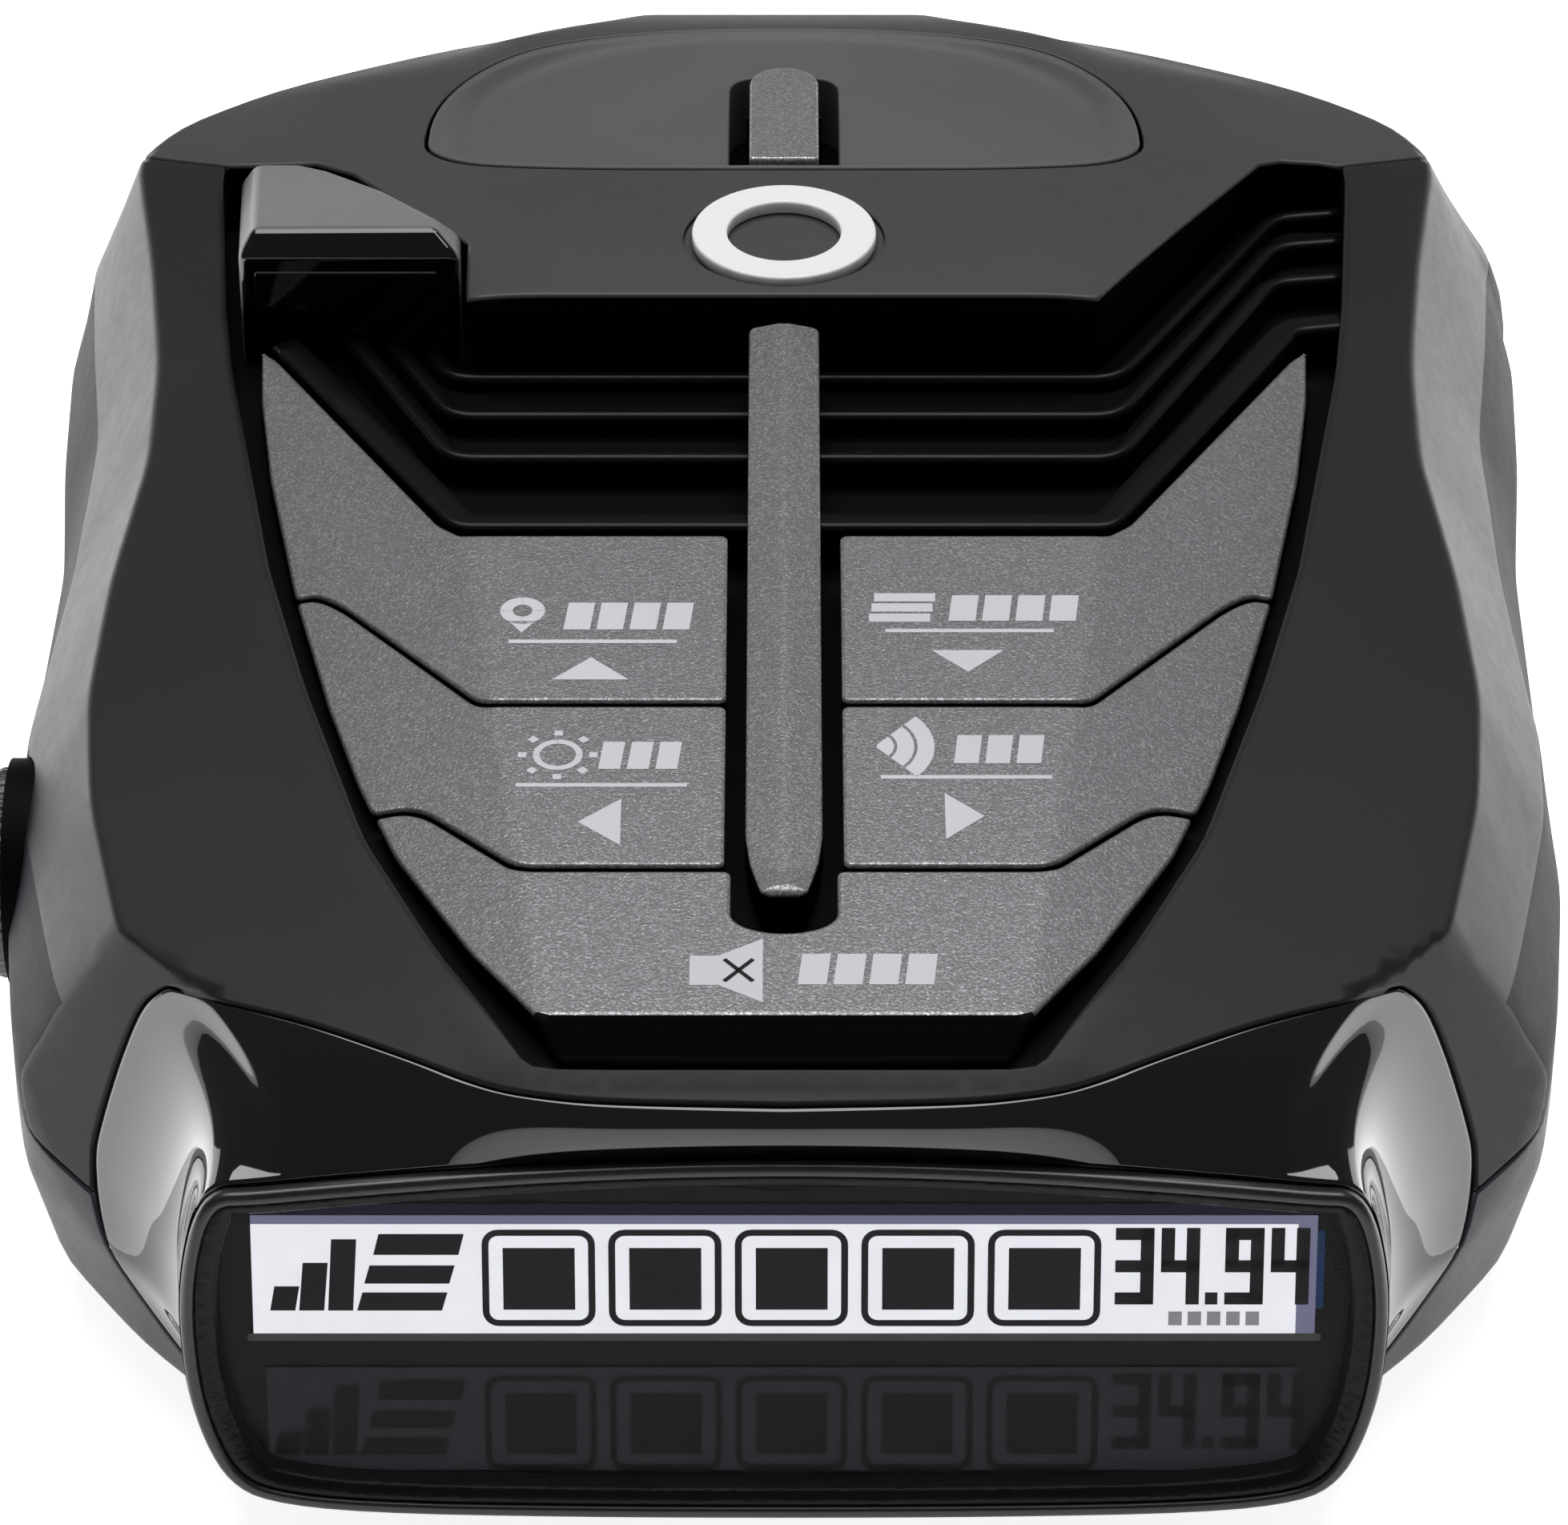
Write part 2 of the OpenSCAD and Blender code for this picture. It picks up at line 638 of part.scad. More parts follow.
// Bar pressed down to free the bracket, with the catch below it
module release_button() {
  color([0.5, 0.5, 0.49]) {
    plan(26.9, 29.3) union() {
      translate([-2.15, 36]) square([4.3, 9.4]);
      translate([0, 45.4]) circle(r = 2.15, $fn = 48);
    }
    translate([-2.1, 38.4, catch_z]) cube([4.2, 6.6, 4.4]);
  }
}

module volume_knob() {
  color([0.1, 0.1, 0.11]) translate([0, knob_y, knob_z]) rotate([0, 90, 0]) {
    difference() {
      translate([0, 0, -44.6]) cylinder(r = knob_r, h = 3.6, $fn = 64);
      for (i = [0 : 11]) rotate([0, 0, i * 30]) translate([knob_r + 0.3, 0, -46]) cylinder(r = 0.7, h = 4.6, $fn = 16);
      translate([knob_r - 1.6, 0, -45]) cylinder(r = 0.6, h = 0.8, $fn = 20);
    }
    translate([0, 0, -41.2]) cylinder(r = 2, h = 7, $fn = 40);
  }
}

// Flat planes that every key is trimmed to: a centre field and two side facets
module key_roof() {
  intersection() {
    both_below(17.6, keys_y, keys_z, keys_slope, 13, -7.4);
    below_plane(0, keys_y, keys_z, keys_slope, 0);
    below_plane(0, -48.1, 27, 45, 0);
  }
}

module both_below(x, y, z, slope, tilt, turn = 0) {
  intersection() {
    below_plane(x, y, z, slope, tilt, turn);
    mirror([1, 0, 0]) below_plane(x, y, z, slope, tilt, turn);
  }
}

// Everything below a plane through a point, sloping along Y and tilted sideways
module below_plane(x, y, z, slope, tilt, turn = 0) {
  translate([x, y, z]) rotate([slope, 0, 0]) rotate([0, 0, turn]) rotate([0, tilt, 0])
    translate([-big / 2, -big / 2, -80]) cube([big, big, 80]);
}

module key(i) {
  color([0.28, 0.28, 0.285]) {
    intersection() {
      plan(deck_z + deck_t + key_travel + 0.15, 40) children();
      key_roof();
    }
    translate([key_stem_xy[i][0], key_stem_xy[i][1], 0]) {
      translate([0, 0, 23.9]) cylinder(r = stem_r, h = 2.6, $fn = 40);
      translate([0, 0, 23.9]) cylinder(r = stem_r + 0.4, h = 0.4, $fn = 40);
    }
  }
}

// Grooves that split the key field into three rows
function groove(k) = k == 0 ? [[60, -10.2], [26, -11.5], [24.2, -13], [16.5, -21.9]]
  : [[60, -28.9], [20.9, -30.7], [19.7, -31.5], [14.3, -36]];

module above_groove(k, d) {
  polygon(concat(
    [for (p = groove(k)) [p[0], p[1] + d]],
    [for (i = [3 : -1 : 0]) [-groove(k)[i][0], groove(k)[i][1] + d]],
    [[-60, 60], [60, 60]]));
}
module row_one() {
  intersection() {
    key_field();
    above_groove(0, key_gap / 2);
  }
}

module row_two() {
  difference() {
    intersection() {
      key_field();
      above_groove(1, key_gap / 2);
    }
    above_groove(0, -key_gap / 2);
  }
}

module row_three() {
  difference() {
    key_field();
    above_groove(1, -key_gap / 2);
  }
}

module beside_spine(side) {
  translate([side > 0 ? 3.15 : -63.15, -60]) square([60, 120]);
}

module mark_key() {
  key(0) intersection() {
    row_one();
    beside_spine(-1);
  }
}

module menu_key() {
  key(1) intersection() {
    row_one();
    beside_spine(1);
  }
}

module dim_key() {
  key(2) intersection() {
    row_two();
    beside_spine(-1);
  }
}

module sensitivity_key() {
  key(3) intersection() {
    row_two();
    beside_spine(1);
  }
}

module mute_key() {
  key(4) difference() {
    row_three();
    translate([-2.8, -39.6]) square([5.6, 10]);
    translate([0, -39.6]) scale([1, 0.6]) circle(r = 2.8, $fn = 40);
  }
}

lower_case();
upper_case();
rear_cover();
dock_dish();
emblem_ring();
louvre_grille();
spine_trim();
laser_pod();
pod_window();
pod_sensor();
display_bezel();
display_frame();
display_window();
display_panel();
display_holder();
display_flex();
front_window();
laser_lens();
laser_board();
horn_antenna();
rf_board();
rf_shield();
main_board();
processor();
gps_antenna();
key_board();
key_membrane();
contact_domes();
speaker();
speaker_gasket();
power_jack();
usb_port();
volume_pot();
case_screws();
board_screws();
bottom_label();
release_spring();
release_button();
volume_knob();
mark_key();
menu_key();
dim_key();
sensitivity_key();
mute_key();
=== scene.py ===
"""Looks of a windshield radar detector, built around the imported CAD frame.

Lengths in the shape code are millimetres; every mesh is scaled to metres when it is made.
-Y faces the driver, +Y the road, +Z is up.
"""

import math

import bpy
import numpy as np
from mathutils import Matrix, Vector
from mathutils.geometry import delaunay_2d_cdt


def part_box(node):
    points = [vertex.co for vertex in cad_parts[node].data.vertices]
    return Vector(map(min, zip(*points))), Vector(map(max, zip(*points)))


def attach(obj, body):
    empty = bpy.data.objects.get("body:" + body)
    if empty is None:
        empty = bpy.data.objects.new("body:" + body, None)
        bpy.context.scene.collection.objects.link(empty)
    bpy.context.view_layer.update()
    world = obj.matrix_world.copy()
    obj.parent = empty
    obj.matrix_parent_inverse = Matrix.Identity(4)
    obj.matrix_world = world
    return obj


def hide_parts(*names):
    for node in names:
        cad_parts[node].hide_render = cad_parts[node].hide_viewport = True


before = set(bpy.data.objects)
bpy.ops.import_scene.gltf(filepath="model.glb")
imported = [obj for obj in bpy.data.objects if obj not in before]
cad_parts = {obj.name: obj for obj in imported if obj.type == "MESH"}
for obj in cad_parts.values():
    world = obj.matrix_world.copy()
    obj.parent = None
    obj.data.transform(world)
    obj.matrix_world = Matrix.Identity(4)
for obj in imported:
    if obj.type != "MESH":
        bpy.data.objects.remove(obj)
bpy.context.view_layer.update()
MM = 0.001
scene = bpy.context.scene


# ---------------------------------------------------------------- materials


class Nodes:
    """Short-hand for building one material's node tree."""

    def __init__(self, name):
        self.mat = bpy.data.materials.new(name)
        self.mat.use_nodes = True
        self.tree = self.mat.node_tree
        self.shader = self.tree.nodes["Principled BSDF"]
        coord = self.tree.nodes.new("ShaderNodeTexCoord")
        self.place = coord.outputs["Object"]

    def set(self, **values):
        for key, value in values.items():
            socket = self.shader.inputs[key.replace("_", " ")]
            socket.default_value = (*value, 1.0) if isinstance(value, tuple) else value

    def noise(self, scale, detail=2.0, rough=0.5):
        node = self.tree.nodes.new("ShaderNodeTexNoise")
        node.inputs["Scale"].default_value = scale
        node.inputs["Detail"].default_value = detail
        node.inputs["Roughness"].default_value = rough
        self.tree.links.new(self.place, node.inputs["Vector"])
        return node.outputs["Fac"]

    def cells(self, scale):
        node = self.tree.nodes.new("ShaderNodeTexVoronoi")
        node.inputs["Scale"].default_value = scale
        self.tree.links.new(self.place, node.inputs["Vector"])
        return node

    def ramp(self, source, stops):
        node = self.tree.nodes.new("ShaderNodeValToRGB")
        points = node.color_ramp.elements
        while len(points) < len(stops):
            points.new(0.5)
        for point, (pos, value) in zip(points, stops):
            point.position = pos
            rgb = value if isinstance(value, tuple) else (value, value, value)
            point.color = (*rgb, 1.0)
        self.tree.links.new(source, node.inputs["Fac"])
        return node.outputs["Color"]

    def link(self, source, socket):
        self.tree.links.new(source, self.shader.inputs[socket])

    def bump(self, source, strength, distance):
        node = self.tree.nodes.new("ShaderNodeBump")
        node.inputs["Strength"].default_value = strength
        node.inputs["Distance"].default_value = distance
        self.tree.links.new(source, node.inputs["Height"])
        self.link(node.outputs["Normal"], "Normal")


def plastic(name, dark, light, rough, grain=2600.0, strength=0.25, depth=0.00003, shine=0.5):
    """Moulded plastic: fine grain in the bump, slow drift in colour and roughness."""
    n = Nodes(name)
    n.set(Specular_IOR_Level=shine)
    drift = n.noise(60.0, 3.0)
    n.link(n.ramp(drift, [(0.3, dark), (0.7, light)]), "Base Color")
    n.link(n.ramp(n.noise(900.0, 2.0), [(0.3, rough - 0.02), (0.7, rough + 0.02)]), "Roughness")
    n.bump(n.noise(grain, 2.0, 0.6), strength, depth)
    return n


def glossy(name, colour, rough=0.05, coat=0.0):
    n = Nodes(name)
    n.set(Base_Color=colour, Coat_Weight=coat, Coat_Roughness=0.03)
    n.link(n.ramp(n.noise(220.0, 2.0), [(0.35, rough), (0.75, rough + 0.025)]), "Roughness")
    return n


def glass(name):
    """Clear hard-coated window: thin, faintly tinted, with a faint gloss."""
    n = Nodes(name)
    n.set(Base_Color=(0.01, 0.01, 0.014), Alpha=0.06)
    n.link(n.ramp(n.noise(180.0, 1.0), [(0.3, 0.03), (0.7, 0.05)]), "Roughness")
    return n


def metal(name, colour, rough, grain=900.0):
    n = Nodes(name)
    n.set(Metallic=1.0)
    shade = tuple(c * 0.8 for c in colour)
    n.link(n.ramp(n.noise(grain, 3.0), [(0.3, shade), (0.7, colour)]), "Base Color")
    n.link(n.ramp(n.noise(grain * 0.4, 2.0), [(0.3, rough - 0.05), (0.7, rough + 0.08)]), "Roughness")
    return n


def metallic_paint(name, base, fleck):
    """Grey paint with bright metal flakes about a tenth of a millimetre across."""
    n = Nodes(name)
    flakes = n.cells(8600.0)
    n.link(n.ramp(flakes.outputs["Color"], [(0.0, base), (0.45, base), (1.0, fleck)]), "Base Color")
    n.link(n.ramp(flakes.outputs["Color"], [(0.3, 0.42), (0.8, 0.3)]), "Roughness")
    n.set(Metallic=0.55)
    n.bump(n.noise(5200.0, 2.0, 0.7), 0.5, 0.00006)
    return n


def glow(name, colour, strength):
    n = Nodes(name)
    n.set(Base_Color=(0.003, 0.003, 0.004), Roughness=0.5, Emission_Strength=strength, Specular_IOR_Level=0.1)
    tint = tuple(c * 0.93 for c in colour)
    n.link(n.ramp(n.noise(500.0, 1.0), [(0.2, tint), (0.8, colour)]), "Emission Color")
    return n


MAT = {
    "case": plastic("case_black", (0.013, 0.013, 0.0138), (0.0155, 0.0155, 0.0163), 0.46, strength=0.12,
                    shine=0.19),
    # flank: the case plastic again, darker and bluer, as painted shade on the sides below the rail
    "flank": plastic("flank_grey_painted_shade", (0.009, 0.0115, 0.015), (0.011, 0.0135, 0.0175), 0.55, strength=0.12,
                     shine=0.07),
    "lower": plastic("lower_black", (0.012, 0.0145, 0.019), (0.015, 0.0175, 0.023), 0.46, shine=0.4),
    "soft": plastic("soft_touch_black", (0.04, 0.04, 0.0405), (0.045, 0.045, 0.0455), 0.5, 3200.0, 0.2,
                    shine=0.5),
    "dish": plastic("dish_grain", (0.085, 0.085, 0.086), (0.1, 0.1, 0.101), 0.55, 1900.0, 0.5, 0.00005,
                    shine=0.35),
    # grille: near-black satin plastic, made darker than the case as painted shade for the recess the louvres
    # sit in
    "grille": plastic("grille_satin_recess_shade", (0.002, 0.002, 0.0022), (0.003, 0.003, 0.0033), 0.34, 2600.0, 0.12,
                      shine=0.16),
    "pod": plastic("pod_black", (0.13, 0.13, 0.132), (0.145, 0.145, 0.147), 0.42),
    # inner: near-black, the colour of dark inner parts and also painted shade on gap walls, recess floors and
    # hole bottoms
    "inner": plastic("inner_black", (0.0012, 0.0012, 0.0013), (0.0016, 0.0016, 0.0018), 0.6, shine=0.05),
    "rim": plastic("frame_rim", (0.011, 0.0102, 0.0095), (0.016, 0.015, 0.014), 0.3, 2200.0, 0.3, 0.00004),
    "rim_inner": plastic("frame_inner", (0.0035, 0.0035, 0.004), (0.005, 0.005, 0.0055), 0.35, 1500.0, 0.8,
                         0.0001, shine=0.16),
    "knob": plastic("knob_black", (0.04, 0.04, 0.042), (0.048, 0.048, 0.05), 0.26, 2600.0, 0.15),
    "gloss": glossy("piano_black", (0.003, 0.003, 0.0036), 0.035, 0.5),
    "glass": glass("clear_window"),
    "road_window": glossy("road_window", (0.003, 0.0016, 0.0018), 0.06, 0.2),
    "paint": metallic_paint("key_paint", (0.165, 0.167, 0.171), (0.4, 0.405, 0.415)),
    "trim_paint": metallic_paint("trim_paint", (0.17, 0.172, 0.176), (0.42, 0.425, 0.435)),
    "tongue": metallic_paint("tongue_paint", (0.22, 0.22, 0.22), (0.5, 0.5, 0.5)),
    "legend": plastic("legend_grey", (0.62, 0.62, 0.64), (0.68, 0.68, 0.7), 0.5, 2600.0, 0.1),
    "emblem": plastic("emblem_white", (0.86, 0.86, 0.86), (0.93, 0.93, 0.93), 0.4, 2600.0, 0.1),
    "label": plastic("label_silver", (0.5, 0.5, 0.51), (0.56, 0.56, 0.57), 0.35, 1200.0, 0.1),
    "steel": metal("screw_steel", (0.32, 0.32, 0.33), 0.3),
    "tin": metal("tin_plate", (0.62, 0.62, 0.6), 0.32),
    "brass": metal("contact_metal", (0.78, 0.7, 0.5), 0.25),
    "board": plastic("board_green", (0.012, 0.07, 0.03), (0.018, 0.09, 0.04), 0.4),
    "copper": metal("flex_copper", (0.75, 0.42, 0.16), 0.35),
    "ceramic": plastic("ceramic", (0.55, 0.48, 0.36), (0.62, 0.55, 0.43), 0.5),
    "rubber": plastic("rubber_grey", (0.14, 0.14, 0.145), (0.18, 0.18, 0.185), 0.65),
    "lens_red": glossy("lens_red", (0.25, 0.01, 0.012), 0.05, 0.3),
    "lit": glow("screen_lit", (0.93, 0.94, 1.0), 1.0),
    "lit_edge": glow("screen_edge", (0.33, 0.33, 0.52), 0.5),
    "lip": plastic("screen_lip", (0.03, 0.028, 0.028), (0.04, 0.036, 0.036), 0.5),
    "unit": glow("screen_unit", (0.3, 0.3, 0.34), 0.8),
    "ink": plastic("screen_ink", (0.004, 0.004, 0.006), (0.006, 0.006, 0.008), 0.6, shine=0.2),
    # Faint glowing copies of the lit field and its dark shapes: a painted reflection of the screen in the
    # window
    "painted_reflection": glow("screen_painted_reflection", (0.3, 0.3, 0.38), 0.045),
    "painted_reflection_ink": glow("screen_painted_reflection_ink", (0.03, 0.03, 0.04), 0.005),
    "well": plastic("screen_well", (0.0016, 0.0014, 0.002), (0.0022, 0.002, 0.0028), 0.3, shine=0.1),
    "violet": glow("screen_violet", (0.1, 0.05, 0.2), 0.06),
    "blue": glow("screen_blue", (0.03, 0.1, 0.3), 0.25),
}
MAT = {key: n.mat for key, n in MAT.items()}


# ---------------------------------------------------------------- mesh helpers


def to_object(name, verts, faces, mat, body, smooth=True, slot=None, replaces=()):
    mesh = bpy.data.meshes.new(name)
    mesh.from_pydata([tuple(v) for v in np.asarray(verts, float) * MM], [], [tuple(f) for f in faces])
    mesh.validate()
    mesh.materials.append(MAT[mat])
    if smooth:
        mesh.polygons.foreach_set("use_smooth", [True] * len(mesh.polygons))
    obj = bpy.data.objects.new(name, mesh)
    scene.collection.objects.link(obj)
    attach(obj, body)
    if replaces:
        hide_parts(*replaces)
    return obj


def bevel(obj, width, segments=2, angle=30.0):
    mod = obj.modifiers.new("edges", "BEVEL")
    mod.width = width * MM
    mod.segments = segments
    mod.limit_method = "ANGLE"
    mod.angle_limit = math.radians(angle)
    mod.use_clamp_overlap = True
    mod.harden_normals = True


def dress(node, mat, width):
    """A carried-over CAD node: welded, flattened, its edges rounded, in its own material."""
    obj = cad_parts[node]
    obj.data.materials.clear()
    obj.data.materials.append(MAT[mat])
    if width:
        weld = obj.modifiers.new("weld", "WELD")
        weld.merge_threshold = 2e-6
        flat = obj.modifiers.new("flat", "DECIMATE")
        flat.decimate_type = "DISSOLVE"
        flat.angle_limit = math.radians(0.6)
        bevel(obj, width)


def resample(points, step, closed=True):
    """Points along a polyline at about the given spacing, keeping its corners."""
    points = [np.asarray(p, float) for p in points]
    ends = points[1:] + ([points[0]] if closed else [])
    out = []
    for a, b in zip(points, ends):
        n = max(1, int(round(np.linalg.norm(b - a) / step)))
        out += [a + (b - a) * i / n for i in range(n)]
    if not closed:
        out.append(points[-1])
    return np.array(out)


def area(loop):
    """Signed area of a closed outline, positive when it runs anticlockwise."""
    x, y = loop[:, 0], loop[:, 1]
    return 0.5 * np.sum(x * np.roll(y, -1) - np.roll(x, -1) * y)


def inside(points, loops):
    """Even-odd test of 2D points against closed loops."""
    hit = np.zeros(len(points), bool)
    for loop in loops:
        a, b = loop, np.roll(loop, -1, axis=0)
        px, py = points[:, 0:1], points[:, 1:2]
        up = (a[:, 1] > py) != (b[:, 1] > py)
        rise = b[:, 1] - a[:, 1]
        rise[rise == 0] = 1e-12
        cut = a[:, 0] + (py - a[:, 1]) * (b[:, 0] - a[:, 0]) / rise
        hit ^= (np.sum(up & (px < cut), axis=1) % 2).astype(bool)
    return hit


def nearest(points, others):
    """Distance from each point to the closest of the others."""
    if not len(others):
        return np.full(len(points), 1e9)
    best = np.full(len(points), 1e9)
    for k in range(0, len(others), 400):
        part = others[k : k + 400]
        gap = np.linalg.norm(points[:, None, :] - part[None, :, :], axis=2).min(axis=1)
        best = np.minimum(best, gap)
    return best


def partials(surface, uv, h=0.04):
    """Slopes of a surface along u and along v."""
    du = (surface(uv + [h, 0]) - surface(uv - [h, 0])) / (2 * h)
    dv = (surface(uv + [0, h]) - surface(uv - [0, h])) / (2 * h)
    return du, dv


def unit(v):
    return v / np.maximum(np.linalg.norm(v, axis=-1, keepdims=True), 1e-12)


MITRE_LIMIT = 0.45  # keeps the offset short at sharp corners


def mitre(path, normal):
    """Inward offset direction at each vertex of a closed 3D loop, so that both edges move by one."""
    edge = unit(np.roll(path, -1, axis=0) - path)
    left = unit(np.cross(normal, edge))
    before = np.roll(left, 1, axis=0)
    scale = np.maximum(1 + np.sum(left * before, axis=1, keepdims=True), MITRE_LIMIT)
    return (left + before) / scale


EDGE_ROWS = 3  # mesh rows round a rolled edge
SLIVER = 2e-4  # twice the area, in square mm, under which a fill triangle is dropped
LINE_ROWS = np.array([-0.8, -0.4, -0.2, 0.0, 0.2, 0.4, 0.8])  # mesh rows beside a crease
LINE_CLEAR = 0.85  # no other mesh row comes this close to a crease
RIM_CLEAR = 0.33  # no mesh point comes this close to a rolled edge


def skin(name, surface, loops, mat, body="case", step=0.8, radius=0.25, depth=1.5, grid=1.3,
         lines=(), extra=(), deep=0.0, walls=None, floor_z=None, wall_shade_mat=None, shade_zones=None,
         shade_zone_mat=None, **keys):
    """A cover cut from a surface along closed outlines, with rolled edges and a skirt turned inwards."""
    loops = [resample(l, step) for l in loops]
    loops = [l if (area(l) > 0) == (i == 0) else l[::-1] for i, l in enumerate(loops)]
    verts, faces, rims, shade, shaded_walls, shade_zoned = [], [], [], [], [], []
    edge_radius = radius if callable(radius) else lambda loop: radius
    for loop in loops:
        radius = edge_radius(loop)
        base = surface(loop)
        du, dv = partials(surface, loop)
        normal = unit(np.cross(du, dv))
        inward = mitre(base, normal)
        shift = inward * radius
        g11, g12, g22 = np.sum(du * du, 1), np.sum(du * dv, 1), np.sum(dv * dv, 1)
        r1, r2 = np.sum(du * shift, 1), np.sum(dv * shift, 1)
        det = np.maximum(g11 * g22 - g12 * g12, 1e-9)
        inner = loop + np.stack([(g22 * r1 - g12 * r2) / det, (g11 * r2 - g12 * r1) / det], axis=1)
        on_top = (np.abs(loop[:, 0:1]) < TOP_LIMIT) if deep else np.zeros((len(loop), 1), bool)
        down = np.where(on_top, np.array([[0.0, 0.0, 1.0]]), normal)
        fall = np.where(on_top, deep, depth)
        if walls and len(rims) in walls:
            way, fall = walls[len(rims)]
            down = normal if way is None else np.tile(np.array(way, float), (len(loop), 1))
        rows = [surface(inner)]
        outward = -unit(inward)
        shade += list(normal)
        for k in range(1, EDGE_ROWS + 1):
            a = math.pi / 2 * k / EDGE_ROWS
            shade += list(normal * math.cos(a) + outward * math.sin(a))
            rows.append(base + shift * (1 - math.sin(a)) - down * radius * (1 - math.cos(a)))
        end = base - down * fall
        if floor_z is not None:
            end = base * [1, 1, 0] + [0, 0, floor_z]
        rows.append(end)
        shade += list(outward)
        m = len(loop)
        start = len(verts)
        for row in rows:
            verts += list(row)
        for k in range(len(rows) - 1):
            for i in range(m):
                j = (i + 1) % m
                a = start + k * m
                if k == EDGE_ROWS:
                    shaded_walls.append(len(faces))
                elif shade_zones and shade_zones(loop[i]):
                    shade_zoned.append(len(faces))
                faces.append((a + i, a + j, a + m + j, a + m + i)[::-1])
        rims.append((start, inner))
    lo = np.min([r[1].min(0) for r in rims], axis=0)
    hi = np.max([r[1].max(0) for r in rims], axis=0)
    us = np.arange(lo[0] + grid / 2, hi[0], grid)
    for line in lines:
        us = us[np.abs(us - line) > LINE_CLEAR]
        us = np.concatenate([us, line + LINE_ROWS])
    vs = np.arange(lo[1] + grid / 2, hi[1], grid)
    points = np.array([(u, v) for u in sorted(us) for v in vs]).reshape(-1, 2)
    extra = np.array(extra, float).reshape(-1, 2)
    all_rims = np.concatenate([r[1] for r in rims])
    bounds = [r[1] for r in rims]
    if len(points):
        points = points[inside(points, bounds)]
        keep = (nearest(points, all_rims) > RIM_CLEAR) & (nearest(points, extra) > grid * 0.45)
        points = points[keep]
    if len(extra):
        extra = extra[inside(extra, bounds)]
        extra = extra[nearest(extra, all_rims) > 0.2]
        points = np.concatenate([points, extra]) if len(points) else extra
    flat, edges, index = [], [], []
    for start, inner in rims:
        m, first = len(inner), len(flat)
        flat += [tuple(p) for p in inner]
        edges += [(first + i, first + (i + 1) % m) for i in range(m)]
        index += list(range(start, start + m))

    def facing(uv):
        du, dv = partials(surface, uv)
        return list(unit(np.cross(du, dv)))

    if len(points):
        first = len(verts)
        verts += list(surface(points))
        shade += facing(points)
        index += list(range(first, first + len(points)))
        flat += [tuple(p) for p in points]
    out_v, _, out_f, src_v, _, _ = delaunay_2d_cdt([Vector(p) for p in flat], edges, [], 0, 1e-7)
    out = np.array([tuple(p) for p in out_v])
    tris = np.array([tuple(f) for f in out_f if len(f) == 3])
    corner = out[tris]
    side_a, side_b = corner[:, 1] - corner[:, 0], corner[:, 2] - corner[:, 0]
    solid = np.abs(side_a[:, 0] * side_b[:, 1] - side_a[:, 1] * side_b[:, 0]) > SLIVER
    tris = tris[inside(corner.mean(axis=1), bounds) & solid]
    fresh = {}
    for tri in tris:
        ids = []
        for i in tri:
            if src_v[i]:
                ids.append(index[src_v[i][0]])
            else:
                if i not in fresh:
                    fresh[i] = len(verts)
                    verts.append(surface(out[i : i + 1])[0])
                    shade += facing(out[i : i + 1])
                ids.append(fresh[i])
        if len(set(ids)) == 3:
            if shade_zones and shade_zones(out[tri].mean(axis=0)):
                shade_zoned.append(len(faces))
            faces.append(tuple(ids))
    obj = to_object(name, verts, faces, mat, body, **keys)
    obj.data.normals_split_custom_set_from_vertices([tuple(n) for n in shade])
    # Skirt walls can take a second material, near-black painted shade for the gaps between parts; faces in
    # the given zones can take a darker painted-shade material
    for slot_mat, chosen in ((wall_shade_mat, shaded_walls), (shade_zone_mat, shade_zoned)):
        if slot_mat:
            obj.data.materials.append(MAT[slot_mat])
            for k in chosen:
                obj.data.polygons[k].material_index = len(obj.data.materials) - 1
    return obj


# ---------------------------------------------------------------- the case surface

STEP = 0.1
STATIONS = np.arange(-66.0, 66.0, STEP)


def curve(knots, sigma=1.3):
    """A smooth curve by Y through given knots."""
    k = np.array(knots, float)
    value = np.interp(STATIONS, k[:, 0], k[:, 1])
    reach = int(3 * sigma / STEP)
    weight = np.exp(-0.5 * (np.arange(-reach, reach + 1) * STEP / sigma) ** 2)
    value = np.convolve(np.pad(value, reach, "edge"), weight / weight.sum(), "valid")
    return lambda y: np.interp(y, STATIONS, value)


# Half-widths of the body at its widest, at the rail, at the top crease and at the open recess
widest = curve([(-59, 24), (-57, 28.6), (-52, 32.2), (-45, 37.2), (-38, 41), (-31, 42.2), (-20, 43.4),
                (-6, 43.3), (12, 43.0), (24, 44.0), (36, 44.5), (42, 43.2), (48, 38.0), (53, 28.4),
                (56.5, 19.5), (58.5, 15)])
rail = curve([(-59, 22), (-52, 31), (-45, 35.6), (-36, 38.9), (-31, 40), (-20, 42.2), (-12, 42.6),
              (4, 41.5), (19, 41.2), (30, 42.4), (40, 43.2), (44, 41), (48, 36.6), (53, 27.4),
              (56.5, 18.6), (58.5, 14)])
crease = curve([(-59, 20), (-52, 29), (-45, 32.6), (-39, 34.9), (-27, 37.5), (-18, 38.3), (-7, 37.9),
                (5, 36.7), (15, 36.9), (26, 38.1), (38, 39.9), (43, 37.5), (48, 32), (53, 23.5),
                (56.5, 16.5), (58.5, 12)])
recess = curve([(-52, 12), (-42.4, 17.5), (-33, 21.8), (-19, 25.8), (-8, 28.4), (4, 30.4), (13, 31.9),
                (20, 32.7), (36, 34), (48, 28), (58.5, 10.5)], 0.8)
